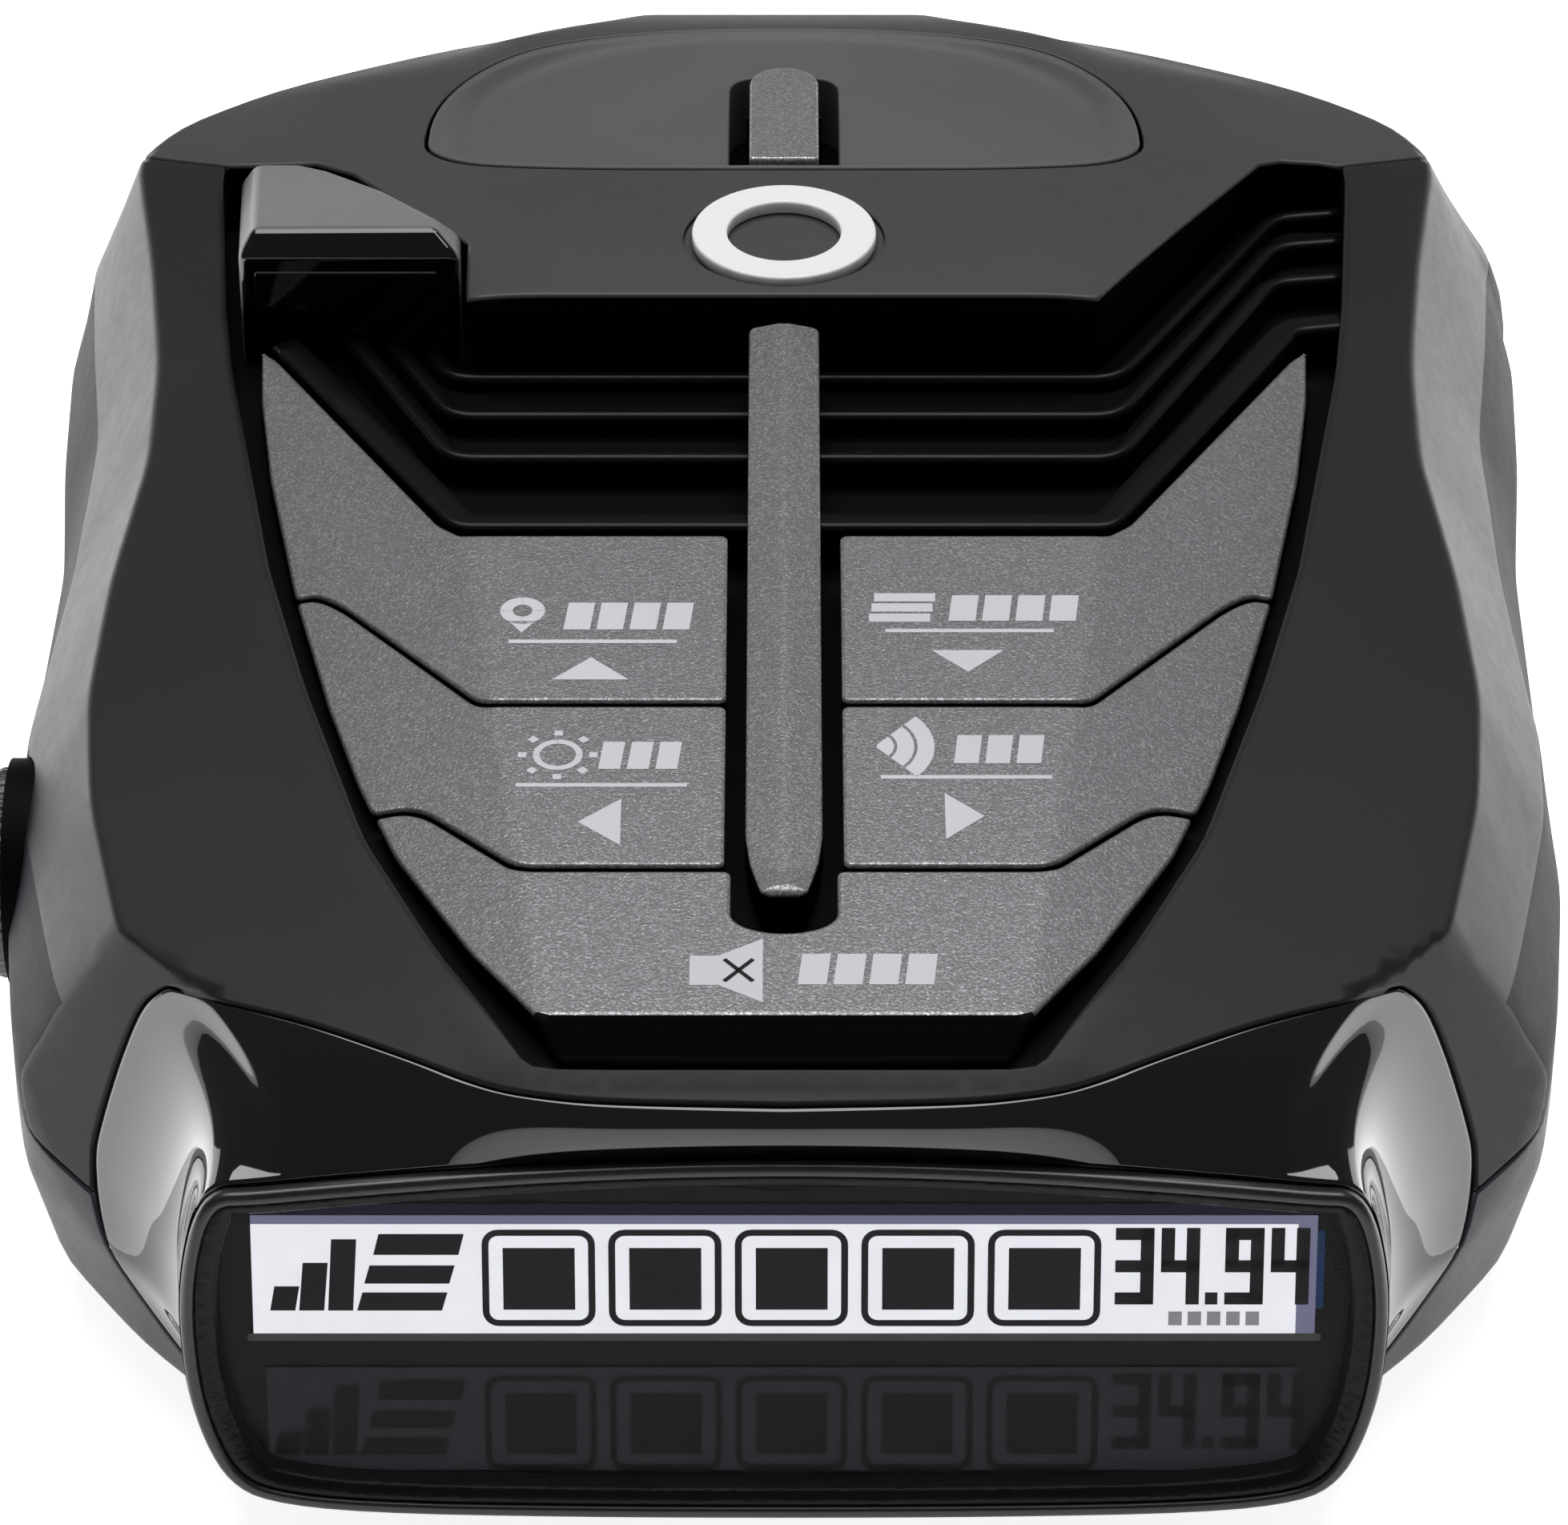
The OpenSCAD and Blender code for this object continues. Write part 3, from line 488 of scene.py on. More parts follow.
# Heights of the centre line, of the cheeks and of the top crease
crown = curve([(-53, 25.2), (-51, 26.5), (-46, 27.3), (-30, 28), (-8, 28.7), (12, 31), (16, 31.4),
               (22, 31.3), (33, 30.7), (50, 29.2), (54.5, 28.5), (57, 27.9), (58.5, 27.2)], 0.9)
cheek = curve([(-53, 25), (-51, 26.3), (-46, 27.2), (-30, 27.9), (-10, 28.5), (36, 28.8), (50, 27.8),
               (54.5, 27.4), (57, 26.9), (58.5, 26.3)], 0.9)
crease_drop = curve([(-50, 23.5), (-40, 24.8), (-20, 26.4), (0, 27.2), (60, 29)])

# Places around a section, counted from the centre line of the top
CREASE_AT, RAIL_AT, BELT_AT, WAIST_AT = 30.0, 37.0, 42.5, 48.0
CHIN_AT, FOOT_AT, KEEL_AT = 54.0, 58.0, 72.0
SEAM_AT = 45.0
BODY_LINES = [-BELT_AT, -RAIL_AT, -CREASE_AT, CREASE_AT, RAIL_AT, BELT_AT]
REAR_Y = 57.9
REAR_ROUND = 0.6
CAP = 14.0
REAR_END = REAR_Y + 0.94 * CAP + 0.35
SEAM_Z = 12.0


def crease_z(y):
    return np.minimum(cheek(y) - 0.6, crease_drop(y))


def section(a, y):
    """Raw section: x and z at place a, for the station at y."""
    w, r, c = widest(y), rail(y), crease(y)
    top = np.clip(a / CREASE_AT, 0, 1) * c
    rec = np.minimum(recess(y), c - 1.5)
    flat = np.minimum(17.0, rec - 2.5)
    zc, zk, zt = crease_z(y), cheek(y), crown(y) - 0.3
    near = np.clip((top - flat) / (rec - flat), 0, 1)
    far = np.clip((top - rec) / (c - rec), 0, 1)
    z_top = zt + (zk - zt) * near + (zc - zk) * far
    tuck = np.interp(y, [-60, -52, -46, -38], [2.4, 2.1, 1.0, 0])
    xs = [c, r, w, w - tuck, w - 1.6 - tuck, w - 6.0 - tuck, 0 * w]
    zs = [zc, 19.5 + 0 * w, 14.5 + 0 * w, 9.0 + 0 * w, 2.8 + 0 * w, 0 * w, 0 * w]
    at = [CREASE_AT, RAIL_AT, BELT_AT, WAIST_AT, CHIN_AT, FOOT_AT, KEEL_AT]
    x, z = top, z_top
    for k in range(6):
        f = np.clip((a - at[k]) / (at[k + 1] - at[k]), 0, 1)
        on = a > at[k]
        x = np.where(on, xs[k] + (xs[k + 1] - xs[k]) * f, x)
        z = np.where(on, zs[k] + (zs[k + 1] - zs[k]) * f, z)
    return x, z


FACET_AT, FACET_WAY = (36.6, -43.3, 12.3), (0.70, -0.62, 0.35)


def soft_min(k, first, *others):
    """The lowest of several heights, with the corners between them rounded."""
    total = -first / k
    for height in others:
        total = np.logaddexp(total, -height / k)
    return -k * total


def soft_plane(p, origin, normal, k):
    """Points outside a plane are brought back to it, with a rounded edge."""
    n = np.array(normal) / np.linalg.norm(normal)
    d = (p - np.array(origin)) @ n
    return p + (soft_min(k, 0, d) - d)[:, None] * n


def body(uv):
    """The outer surface of the case. u runs round a section from the top centre, v runs along Y."""
    uv = np.atleast_2d(np.asarray(uv, float))
    u, v = uv[:, 0], uv[:, 1]
    y = np.minimum(v, REAR_Y)
    reach = np.interp(np.abs(u), [0, 22, 28.6, 29.8, 30.2, 31.4, 60],
                      [2.5, 1.8, 0.5, 0.28, 0.28, 0.5, 0.8])
    x, z = 0, 0
    offsets = np.linspace(-1.25, 1.25, 15)
    shares = np.cos(offsets / 1.25 * math.pi / 2.12)
    for o, share in zip(offsets, shares / shares.sum()):
        shifted = u + o * reach
        sx, sz = section(np.minimum(np.abs(shifted), KEEL_AT), y)
        x = x + np.sign(shifted) * sx * share
        z = z + sz * share
    flank = np.clip((u - 28) / 12, 0, 1) * np.clip((FOOT_AT - u) / 8, 0, 1)
    x = x * (1 + flank * np.interp(y, [-8, 12, 38, 46, 56], [0, 0.016, 0.025, 0.09, 0.14]))
    beyond = np.maximum(v - REAR_Y, 0)
    arc = np.minimum(beyond / REAR_ROUND, math.pi / 2)
    shrink = REAR_ROUND * (1 - np.cos(arc)) + np.maximum(beyond - REAR_ROUND * math.pi / 2, 0)
    f = np.maximum(1 - shrink / CAP, 0)
    p = np.stack([np.abs(x) * f, y + REAR_ROUND * np.sin(arc), SEAM_Z + (z - SEAM_Z) * f], axis=1)
    p = soft_plane(p, FACET_AT, FACET_WAY, 0.1)
    p = soft_plane(p, (0, -58.8, 2.3), (0, -0.515, -0.857), 0.2)
    p[:, 0] *= np.sign(x)
    return p


def under(uv):
    """The same surface counted from the keel, for the lower case."""
    uv = np.atleast_2d(np.asarray(uv, float))
    side = np.where(uv[:, 0] > 0, -1.0, 1.0)
    return body(np.stack([side * (KEEL_AT - np.abs(uv[:, 0])), uv[:, 1]], axis=1))


def top_uv(points):
    """Plan points on the upper surface, as (u, v)."""
    p = np.array(points, float)
    return np.stack([CREASE_AT * p[:, 0] / crease(p[:, 1]), p[:, 1]], axis=1)


def side_at(z, y):
    """Place around the section of a height on the side."""
    heights = [0.0, 2.8, 9.0, 14.5, 19.5, float(crease_z(y))]
    return float(np.interp(z, heights, [FOOT_AT, CHIN_AT, WAIST_AT, BELT_AT, RAIL_AT, CREASE_AT]))


def other_side(points):
    """Outline points moved to the other side of the centre line."""
    return [(-a, b) for a, b in points]


def flipped(points):
    """The same, in reverse order, so that a half outline can be closed with it."""
    return other_side(points)[::-1]


def circle(cx, cy, r, n):
    angles = [2 * math.pi * i / n for i in range(n)]
    return [(cx + r * math.cos(a), cy + r * math.sin(a)) for a in angles]


GAP = 0.09
TOP_LIMIT = CREASE_AT - 1.0
# Seam between the case and the glossy bezel, from the side up and over to the centre line
BEZEL_SEAM = [(53.5, -50.5), (51, -48), (48, -45.8), (SEAM_AT, -44), (41, -43), (37, -42.3), (34, -41.8),
              (32.2, -41.75), (30.6, -42.2), (29, -42.9), (27, -43.9), (23.6, -46.1), (19.8, -49.1),
              (16.4, -51.7), (13.2, -52.7), (9, -52.95), (0, -53.1)]
# Plan seam between the upper case and the rear cover
REAR_SEAM = [(34, 36), (39.7, 38.6)]


def smooth_run(points, rounds=2, closed=False):
    """Corner cutting along a run of points."""
    p = [np.array(q, float) for q in points]
    for _ in range(rounds):
        q = [] if closed else [p[0]]
        pairs = list(zip(p, p[1:] + ([p[0]] if closed else [])))
        for a, b in pairs:
            q += [a * 0.75 + b * 0.25, a * 0.25 + b * 0.75]
        p = q if closed else q + [p[-1]]
    return [tuple(q) for q in p]


knob_lo, knob_hi = [Vector(c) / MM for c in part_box("volume_knob")]
KNOB_Y, KNOB_Z = (knob_lo.y + knob_hi.y) / 2, (knob_lo.z + knob_hi.z) / 2
WELL_R = (knob_hi.z - knob_lo.z) / 2 + 0.45


def well_arc(above):
    """Edge of the round knob well on the left side, above or below the parting plane."""
    reach = math.sqrt(WELL_R**2 - (KNOB_Z - SEAM_Z) ** 2)
    start = math.atan2(SEAM_Z - KNOB_Z, reach)
    sweep = (math.pi - 2 * start) if above else -(math.pi + 2 * start)
    out = []
    for i in range(29):
        a = start + sweep * i / 28
        y, z = KNOB_Y + WELL_R * math.cos(a), KNOB_Z + WELL_R * math.sin(a)
        out.append((side_at(z, y), y))
    return out


def facet_edge(u):
    """Place along Y where the front corner facet starts."""
    vs = np.linspace(-54, -34, 200)
    p = body(np.stack([np.full(200, u), vs], axis=1))
    d = (p - np.array(FACET_AT)) @ (np.array(FACET_WAY) / np.linalg.norm(FACET_WAY))
    return float(vs[min(int(np.argmax(d < -0.12)), 199)])


def flank_shade_zone(uv):
    """Below the rail's outer edge, where the sides turn under; these faces get the darker, bluer flank colour
    as painted shade.
    """
    return abs(uv[0]) > RAIL_AT and uv[1] > np.interp(abs(uv[0]), FACET_US, FACET_VS)


RECESS_GAP = 0.45
RECESS_FRONT = -50.4
FACET_US = np.arange(RAIL_AT - 4, SEAM_AT, 0.5)
FACET_VS = [facet_edge(u) for u in FACET_US]


def cheek_radius(loop):
    """Edge radius: larger along the open recess, where the cheeks meet the keys."""
    u, v = np.abs(loop[:, 0]), loop[:, 1]
    on_cheek = np.abs(u - CREASE_AT * (recess(v) + RECESS_GAP) / crease(v)) < 0.3
    fade = np.clip((v - RECESS_FRONT) / 5, 0, 1) * np.clip((34.5 - v) / 3, 0, 1)
    return (0.25 + 0.3 * on_cheek * fade)[:, None]


def build_upper_case():
    front = smooth_run([(a, v + GAP) for a, v in BEZEL_SEAM if a <= SEAM_AT], 2)
    rear = [tuple(p) for p in top_uv([(x, y - GAP) for x, y in REAR_SEAM])]
    rear += [(RAIL_AT - 1, 40.6), (BELT_AT, 42.0), (SEAM_AT, 42.2)]
    ys = np.linspace(RECESS_FRONT, 36 - GAP, 60)
    edge = [tuple(p) for p in top_uv([(float(recess(y)) + RECESS_GAP, y) for y in ys])]
    nose = [tuple(p) for p in top_uv([(0, -51.05), (11.6, -51.05), (12.8, -50.85)])]
    half = nose + edge + rear
    left = flipped(front)[1:] + flipped(well_arc(True)) + flipped(half)[:-1]
    facet = [(side * u, v + d) for u, v in zip(FACET_US, FACET_VS) for d in (-0.5, 0, 0.4)
             for side in (-1, 1)]
    # Cut-edge walls are painted near-black as shade; the sides below the rail take the darker flank colour as
    # painted shade
    skin("upper_case_cover", body, [half + front + left], "case", deep=6.4, extra=facet, radius=cheek_radius,
         lines=BODY_LINES,
         wall_shade_mat="inner", shade_zones=flank_shade_zone, shade_zone_mat="flank", slot="case_plastic",
         replaces=("upper_case",))


def cap_uv(x, z):
    """(u, v) of a point on the flat rear face."""
    us = np.linspace(0.01, SEAM_AT, 400)
    edge = body(np.stack([us, np.full(400, REAR_Y)], axis=1))
    bearing = np.arctan2(edge[:, 0], edge[:, 2] - SEAM_Z)
    u = np.interp(math.atan2(abs(x), z - SEAM_Z), bearing, us)
    far = body([[u, REAR_Y]])[0]
    f = math.hypot(x, z - SEAM_Z) / math.hypot(far[0], far[2] - SEAM_Z)
    v = REAR_Y + (1 - f) * CAP - REAR_ROUND + REAR_ROUND * math.pi / 2
    return (math.copysign(u, x), v)


def corner_centres(x0, y0, x1, y1, r):
    """Centre and first angle of each corner arc of a rounded box."""
    return [(x1 - r, y1 - r, 0), (x0 + r, y1 - r, 90), (x0 + r, y0 + r, 180), (x1 - r, y0 + r, 270)]


def rounded_rect(x0, y0, x1, y1, r, n=5):
    out = []
    for cx, cy, first in corner_centres(x0, y0, x1, y1, r):
        for i in range(n + 1):
            a = math.radians(first + 90 * i / n)
            out.append((cx + r * math.cos(a), cy + r * math.sin(a)))
    return out


DISH_SQUARE = 0.82
DISH_FLOOR = 28.0


def dish_outline(d=0.0, n=96):
    out = []
    for i in range(n):
        a = 2 * math.pi * i / n - math.pi / 2
        c, s = math.cos(a), math.sin(a)
        square = DISH_SQUARE if s > 0 else DISH_SQUARE + 0.4 * max(s, -1)
        height = 16.6 if s > 0 else 4.6
        out.append(((21.9 + d) * math.copysign(abs(c) ** square, c),
                    37.6 + (height + d) * math.copysign(abs(s) ** square, s)))
    return out


def bend(start, corner, end, t):
    """A point on the curve that leaves start towards corner and arrives at end."""
    return (1 - t) ** 2 * start + 2 * t * (1 - t) * corner + t * t * end


def round_corners(points, r=0.5):
    """Each corner of a closed outline replaced by a short curve."""
    p = [np.array(q, float) for q in points]
    out = []
    for i, q in enumerate(p):
        a, b = p[i - 1], p[(i + 1) % len(p)]
        ra = min(r, 0.4 * np.linalg.norm(a - q))
        rb = min(r, 0.4 * np.linalg.norm(b - q))
        s, e = q + (a - q) / np.linalg.norm(a - q) * ra, q + (b - q) / np.linalg.norm(b - q) * rb
        for t in (0, 0.25, 0.5, 0.75, 1):
            out.append(tuple(bend(s, q, e, t)))
    return out


def build_rear_cover():
    seam = [tuple(p) for p in top_uv([(x, y + GAP) for x, y in REAR_SEAM])]
    seam += [(RAIL_AT - 1, 40.8), (BELT_AT, 42.2), (SEAM_AT, 42.4)]
    bridge = [(-28.7, 35.6), (-26.3, 33.9), (-18.9, 23.6), (-18.8, 18.6), (-18.7, 16.9), (18.5, 16.9),
              (29.1, 35.5), (30.4, 36.2), (32.8, 36.3)]
    bridge = [tuple(p) for p in top_uv(bridge)]
    loop = seam + [(SEAM_AT, REAR_END), (-SEAM_AT, REAR_END)] + flipped(seam) + bridge
    dish = top_uv(dish_outline(0.2))
    pocket = top_uv(circle(0, 24, 6.0, 60))
    slot = [cap_uv(x, z) for x, z in resample(rounded_rect(-9, 22, 9, 26.2, 0.5), 0.8)]
    # Walls of the cuts and holes are painted near-black as shade; the sides below the rail take the darker
    # flank colour as painted shade
    skin("rear_cover_shell", body, [loop, dish, pocket, slot], "soft", deep=4.0, step=0.7,
         lines=BODY_LINES,
         walls={2: ((0, 0, 1), 0.9), 3: (None, 9.0)}, wall_shade_mat="inner", shade_zones=flank_shade_zone,
         shade_zone_mat="flank", slot="soft_touch", replaces=("rear_cover",))
    disc("emblem_pocket_floor", circle(0, 24, 6.2, 48), 30.38, "soft")


def disc(name, outline, z, mat):
    """A thin flat plate with its top at the given height."""
    verts = [(x, y, z) for x, y in outline] + [(x, y, z - 0.3) for x, y in outline]
    n = len(outline)
    faces = [tuple(range(n)), tuple(range(2 * n - 1, n - 1, -1))]
    faces += [(i, n + i, n + (i + 1) % n, (i + 1) % n) for i in range(n)]
    return to_object(name, verts, faces, mat, "case", smooth=False)


def build_dish():
    outline = np.array(dish_outline(0.0))
    dense = resample(outline, 0.3)
    slot = rounded_rect(-3.4, 35.2, 3.4, 48.3, 1.5)

    def surface(p):
        p = np.atleast_2d(p)
        top = body(top_uv(p))[:, 2]
        d = np.where(inside(p, [dense]), 1, -1) * nearest(p, dense)
        wall = top - 0.15 - (d - 0.6) * 1.05
        z = -soft_min(0.22, -soft_min(0.1, top, wall), -DISH_FLOOR)
        return np.stack([p[:, 0], p[:, 1], z], axis=1)

    loop = resample(outline, 0.6)
    rows = np.concatenate([offset_loop(loop, -d) for d in (0.45, 0.65, 0.85, 1.1, 1.5, 2.2, 2.8, 3.3, 3.8)])
    skin("dock_dish_insert", surface, [outline, slot], "dish", step=0.6, radius=0.16, depth=1.4, grid=1.1,
         extra=rows, walls={1: ((0, 0, 1), 5.0)}, slot="soft_touch", replaces=("dock_dish",))
    # A near-black floor deep in the dock slot: painted shade
    disc("dock_slot_floor", rounded_rect(-3.6, 35.0, 3.6, 48.5, 1.5), 23.4, "inner")


SCREW_SEATS = ((30, 42), (-30, 42), (33, -35), (-33, -35))


def build_lower_case():
    front = [(a, v + GAP) for a, v in BEZEL_SEAM if a >= SEAM_AT]
    chin = [(KEEL_AT - 55.2, -55.0), (KEEL_AT - 56.0, -57.4), (0, -57.9)]
    front = [(KEEL_AT - a, b) for a, b in reversed(front)]
    side = KEEL_AT - SEAM_AT
    well = [(KEEL_AT - a, b) for a, b in well_arc(False)]
    left = [(side, REAR_END)] + well + front + chin
    right = flipped([(side, REAR_END)] + front + chin[:-1])

    def flat(x, y):
        return (-(KEEL_AT - FOOT_AT) * x / (float(widest(y)) - 6), y)

    holes = []
    for i in range(-3, 4):
        y = -14 + 3 * i
        holes.append([flat(*p) for p in rounded_rect(6, y - 0.6, 22, y + 0.6, 0.55)])
    holes.append([flat(*p) for p in rounded_rect(-18, 6, 18, 28, 0.8)])
    for x, y in SCREW_SEATS:
        holes.append([flat(*p) for p in circle(x, y, 2.5, 32)])
    turns = np.linspace(0, 2 * math.pi, 36)[:-1]
    jack = [(8.4 + 3.15 * math.sin(t), 2 + 3.15 * math.cos(t)) for t in turns]
    port = [(z, y) for y, z in rounded_rect(11.75, 6.1, 20.25, 9.7, 0.9)]
    for opening in (jack, port):
        holes.append([(-(KEEL_AT - side_at(z, y)), y) for z, y in opening])
    walls = {8: (None, 0.25)}
    walls.update({k: (None, 2.2) for k in range(9, 13)})
    walls.update({13: (None, 2.0), 14: (None, 2.0)})
    lines = [KEEL_AT - FOOT_AT, KEEL_AT - CHIN_AT, KEEL_AT - WAIST_AT]
    skin("lower_case_tray", under, [left + right] + holes, "lower", radius=0.25,
         lines=[-k for k in lines] + lines, walls=walls, depth=1.4, slot="lower_plastic",
         replaces=("lower_case",))
    # Near-black discs at the bottom of the screw holes: painted shade
    for k, (x, y) in enumerate(SCREW_SEATS):
        disc("screw_seat_%d" % k, circle(x, y, 2.7, 32), 2.3, "inner")


# ---------------------------------------------------------------- glossy bezel and display

LEAN = math.radians(90 - 13)  # the display leans back by 13 degrees
FACE = np.array([0.0, -56.4, 12.4])
ACROSS = np.array([1.0, 0.0, 0.0])
UPWARD = np.array([0.0, math.cos(LEAN), math.sin(LEAN)])
OUTWARD = np.array([0.0, -math.sin(LEAN), math.cos(LEAN)])


def on_display(points, n=0.0):
    p = np.atleast_2d(np.array(points, float))
    lift = np.broadcast_to(np.asarray(n, float), (len(p),))
    return FACE + p[:, 0:1] * ACROSS + p[:, 1:2] * UPWARD + lift[:, None] * OUTWARD


FRAME_SIDE = [(27.0, -9.45), (28.9, -8.3), (30.1, -6.0), (30.9, -3.0), (31.2, 1.0), (31.0, 4.0),
              (30.3, 7.0), (29.2, 8.4)]


def frame_outline():
    top = [(u, 8.35 + 1.75 * math.cos(math.radians(u * 3.15))) for u in np.linspace(27.4, -27.4, 25)]
    bottom = [(-22, -10.1), (-11, -10.35), (0, -10.4), (11, -10.35), (22, -10.1)]
    return np.array(smooth_run(FRAME_SIDE + top + flipped(FRAME_SIDE) + bottom, 2, closed=True))


def offset_loop(loop, d):
    tangent = unit(np.roll(loop, -1, axis=0) - np.roll(loop, 1, axis=0))
    turn = np.stack([tangent[:, 1], -tangent[:, 0]], axis=1) * (1 if area(loop) > 0 else -1)
    return loop + turn * d


def strips(count, m, closed=True):
    """Faces that join rows of m points each."""
    return [(k * m + i, k * m + (i + 1) % m, (k + 1) * m + (i + 1) % m, (k + 1) * m + i)
            for k in range(count - 1) for i in range(m if closed else m - 1)]


def sweep_rows(name, rows, mat, closed=True, **keys):
    """Joins rows of points into one strip mesh."""
    faces = strips(len(rows), len(rows[0]), closed)
    return to_object(name, np.concatenate(rows), faces, mat, "case", **keys)


def build_frame():
    loop = resample(frame_outline(), 0.45)
    outer = [(0.0, -4.6), (0.0, -0.2), (-0.03, 0.02), (-0.12, 0.2), (-0.26, 0.28), (-0.5, 0.3), (-0.62, 0.27),
             (-0.7, 0.18), (-0.72, -0.02)]
    sweep_rows("display_frame_rim", [on_display(offset_loop(loop, d), n) for d, n in outer], "rim",
               slot="frame_plastic", replaces=("display_frame",))
    tangent = unit(np.roll(loop, -1, axis=0) - np.roll(loop, 1, axis=0))
    wide = 1 + 0.62 * np.abs(tangent[:, 1:2]) + 0.3 * np.clip(tangent[:, 0:1], 0, 1)
    inner = [(0.0, 0.0), (0.12, 0.08), (0.32, 0.04), (0.58, -0.14), (0.7, -0.35), (0.72, -1.75)]
    rows = [on_display(offset_loop(loop, -0.72 - d * wide), n) for d, n in inner]
    sweep_rows("display_frame_bead", rows, "rim_inner", slot="frame_plastic")


def closest(points, place):
    """Index of the point that is closest to a place."""
    return int(np.argmin(np.linalg.norm(points - np.array(place), axis=1)))


def build_bezel():
    whole = resample(smooth_run(BEZEL_SEAM, 2), 0.5, closed=False)
    k = closest(whole, (32.0, -41.75))
    seam_uv = [whole[: k + 1], whole[k:]]
    frame_loop = offset_loop(frame_outline(), 0.1)
    right = frame_loop[frame_loop[:, 0] > -0.2]
    right = right[np.argsort(np.arctan2(right[:, 1], right[:, 0]))]
    right = right[closest(right, (27.0, -9.5)) :]
    corner = closest(right, (29.6, 8.1))
    rim = [right[: corner + 1], right[corner:]]

    def along(points, t):
        length = np.concatenate([[0], np.cumsum(np.linalg.norm(np.diff(points, axis=0), axis=1))])
        t = t * length[-1]
        return np.stack([np.interp(t, length, points[:, i]) for i in range(2)], axis=1)

    beside, above = np.linspace(0, 1, 46), np.linspace(0, 1, 80)
    uv = np.concatenate([along(seam_uv[0], beside), along(seam_uv[1], above)[1:]]) - [0, GAP]
    edge = np.concatenate([along(rim[0], beside), along(rim[1], above)[1:]])
    a = body(uv)
    du, dv = partials(body, uv)
    normal = unit(np.cross(du, dv))
    forward = -unit(dv)
    b = on_display(edge, -0.55)
    length = np.linalg.norm(b - a, axis=1, keepdims=True)
    middle = a + unit(forward - normal * 0.07) * length * 0.56
    weight = np.exp(-((np.arange(-8, 9) / 4.0) ** 2))
    weight /= weight.sum()
    pad = np.concatenate([middle[:1].repeat(8, 0), middle, (middle * [-1, 1, 1])[-9:-1][::-1]])
    middle = np.stack([np.convolve(pad[:, i], weight, "valid") for i in range(3)], axis=1)
    a = a - normal * 0.05
    rows = [a - normal * 1.6, a - normal * 0.1, a - normal * 0.02 + forward * 0.02]
    for s in np.concatenate([[0.2 / 12], np.linspace(0.05, 1, 26)]):
        rows.append(bend(a, middle, b, s))
    rows.append(b - OUTWARD * 1.2)
    full = [np.concatenate([r, (r * [-1, 1, 1])[-2::-1]]) for r in rows]
    sweep_rows("display_bezel_gloss", full, "gloss", closed=False, slot="gloss_black",
               replaces=("display_bezel",))


# ---------------------------------------------------------------- keypad

KEYS_Y, KEYS_Z, KEYS_RISE = -8.0, 28.9, math.tan(math.radians(2.6))
KEY_FLOOR = 26.0
DECK_Z = 25.2
FRONT_CREASE_Y = -48.1
CHAMFER_SHADE_Y = -48.0  # in front of this the mute key's chamfer is painted near-black as shade
FIELD_END = -5.8
KEY_GAP = 0.42
SPINE_CHANNEL = 3.15
FIELD = [(18.2, FIELD_END), (19.6, -4.3), (29.9, 14.9), (30.9, 16.2), (30.6, 11), (29.6, 3), (27.6, -8),
         (25.1, -19), (23.05, -26.5), (20.75, -33.1), (16.4, -42), (11.6, -50)]
GROOVES = [[(60, -8.1), (26.2, -8.9), (24.7, -10.4), (16.6, -21.5)],
           [(60, -28.6), (20.4, -29.3), (19.2, -30.0), (14.2, -35.9)]]


def crease_x(y):
    return 17.6 + 0.13 * (y + 8)


def roof(p):
    """The keypad's surface: a gently rising centre, two side facets and the front chamfer."""
    p = np.atleast_2d(np.array(p, float))
    x, y = p[:, 0], p[:, 1]
    centre = KEYS_Z + (y - KEYS_Y) * KEYS_RISE
    side = centre - (np.abs(x) - crease_x(y)) * math.tan(math.radians(13))
    chamfer = 27 + (y - FRONT_CREASE_Y)
    return np.stack([x, y, soft_min(0.035, centre, side, chamfer)], axis=1)


def field_x(y):
    edge = [p for p in reversed(FIELD) if p[0] > 0][:-3]
    return float(np.interp(y, [p[1] for p in edge], [p[0] for p in edge]))


def groove_points(k, d):
    """One groove's edge from the spine out to the keypad's side, moved by d along Y."""
    path = [(x, y + d) for x, y in GROOVES[k]]
    far, near = np.array(path[0]), np.array(path[1])
    ts = np.linspace(0, 1, 400)
    line = near + (far - near) * ts[:, None]
    gap = [abs(p[0] - field_x(p[1])) for p in line]
    hit = tuple(line[int(np.argmin(gap))])
    bent = rounded_path([(0, path[3][1]), path[3], path[2], path[1], hit], 1.0)
    return [tuple(p) for p in bent]


def key_loops():
    """Outline of each key in plan, right side positive."""
    half = KEY_GAP / 2
    top = groove_points(0, half)
    side_one = [(x, y) for x, y in FIELD if y > top[-1][1]]
    row_one = [(SPINE_CHANNEL, top[0][1])] + top[1:] + side_one[::-1] + [(SPINE_CHANNEL, FIELD_END)]
    upper, lower = groove_points(0, -half), groove_points(1, half)
    side_two = [(x, y) for x, y in FIELD[2:] if lower[-1][1] < y < upper[-1][1]]
    row_two = [(SPINE_CHANNEL, lower[0][1])] + lower[1:] + side_two[::-1] + upper[:0:-1]
    row_two += [(SPINE_CHANNEL, upper[0][1])]
    edge = groove_points(1, -half)
    side_three = [(x, y) for x, y in FIELD[2:] if y < edge[-1][1]]
    notch = [(2.8, edge[0][1]), (2.8, -39.6)]
    notch += [(2.8 * math.cos(a), -39.6 - 1.68 * math.sin(a)) for a in np.linspace(0.15, math.pi / 2, 8)]
    right = edge[1:] + side_three + [(0, -50.2)]
    mute = right + flipped(right[:-1]) + other_side(notch) + notch[-2::-1]
    return {"sensitivity_key": row_two, "menu_key": row_one, "mark_key": other_side(row_one),
            "dim_key": other_side(row_two), "mute_key": mute}


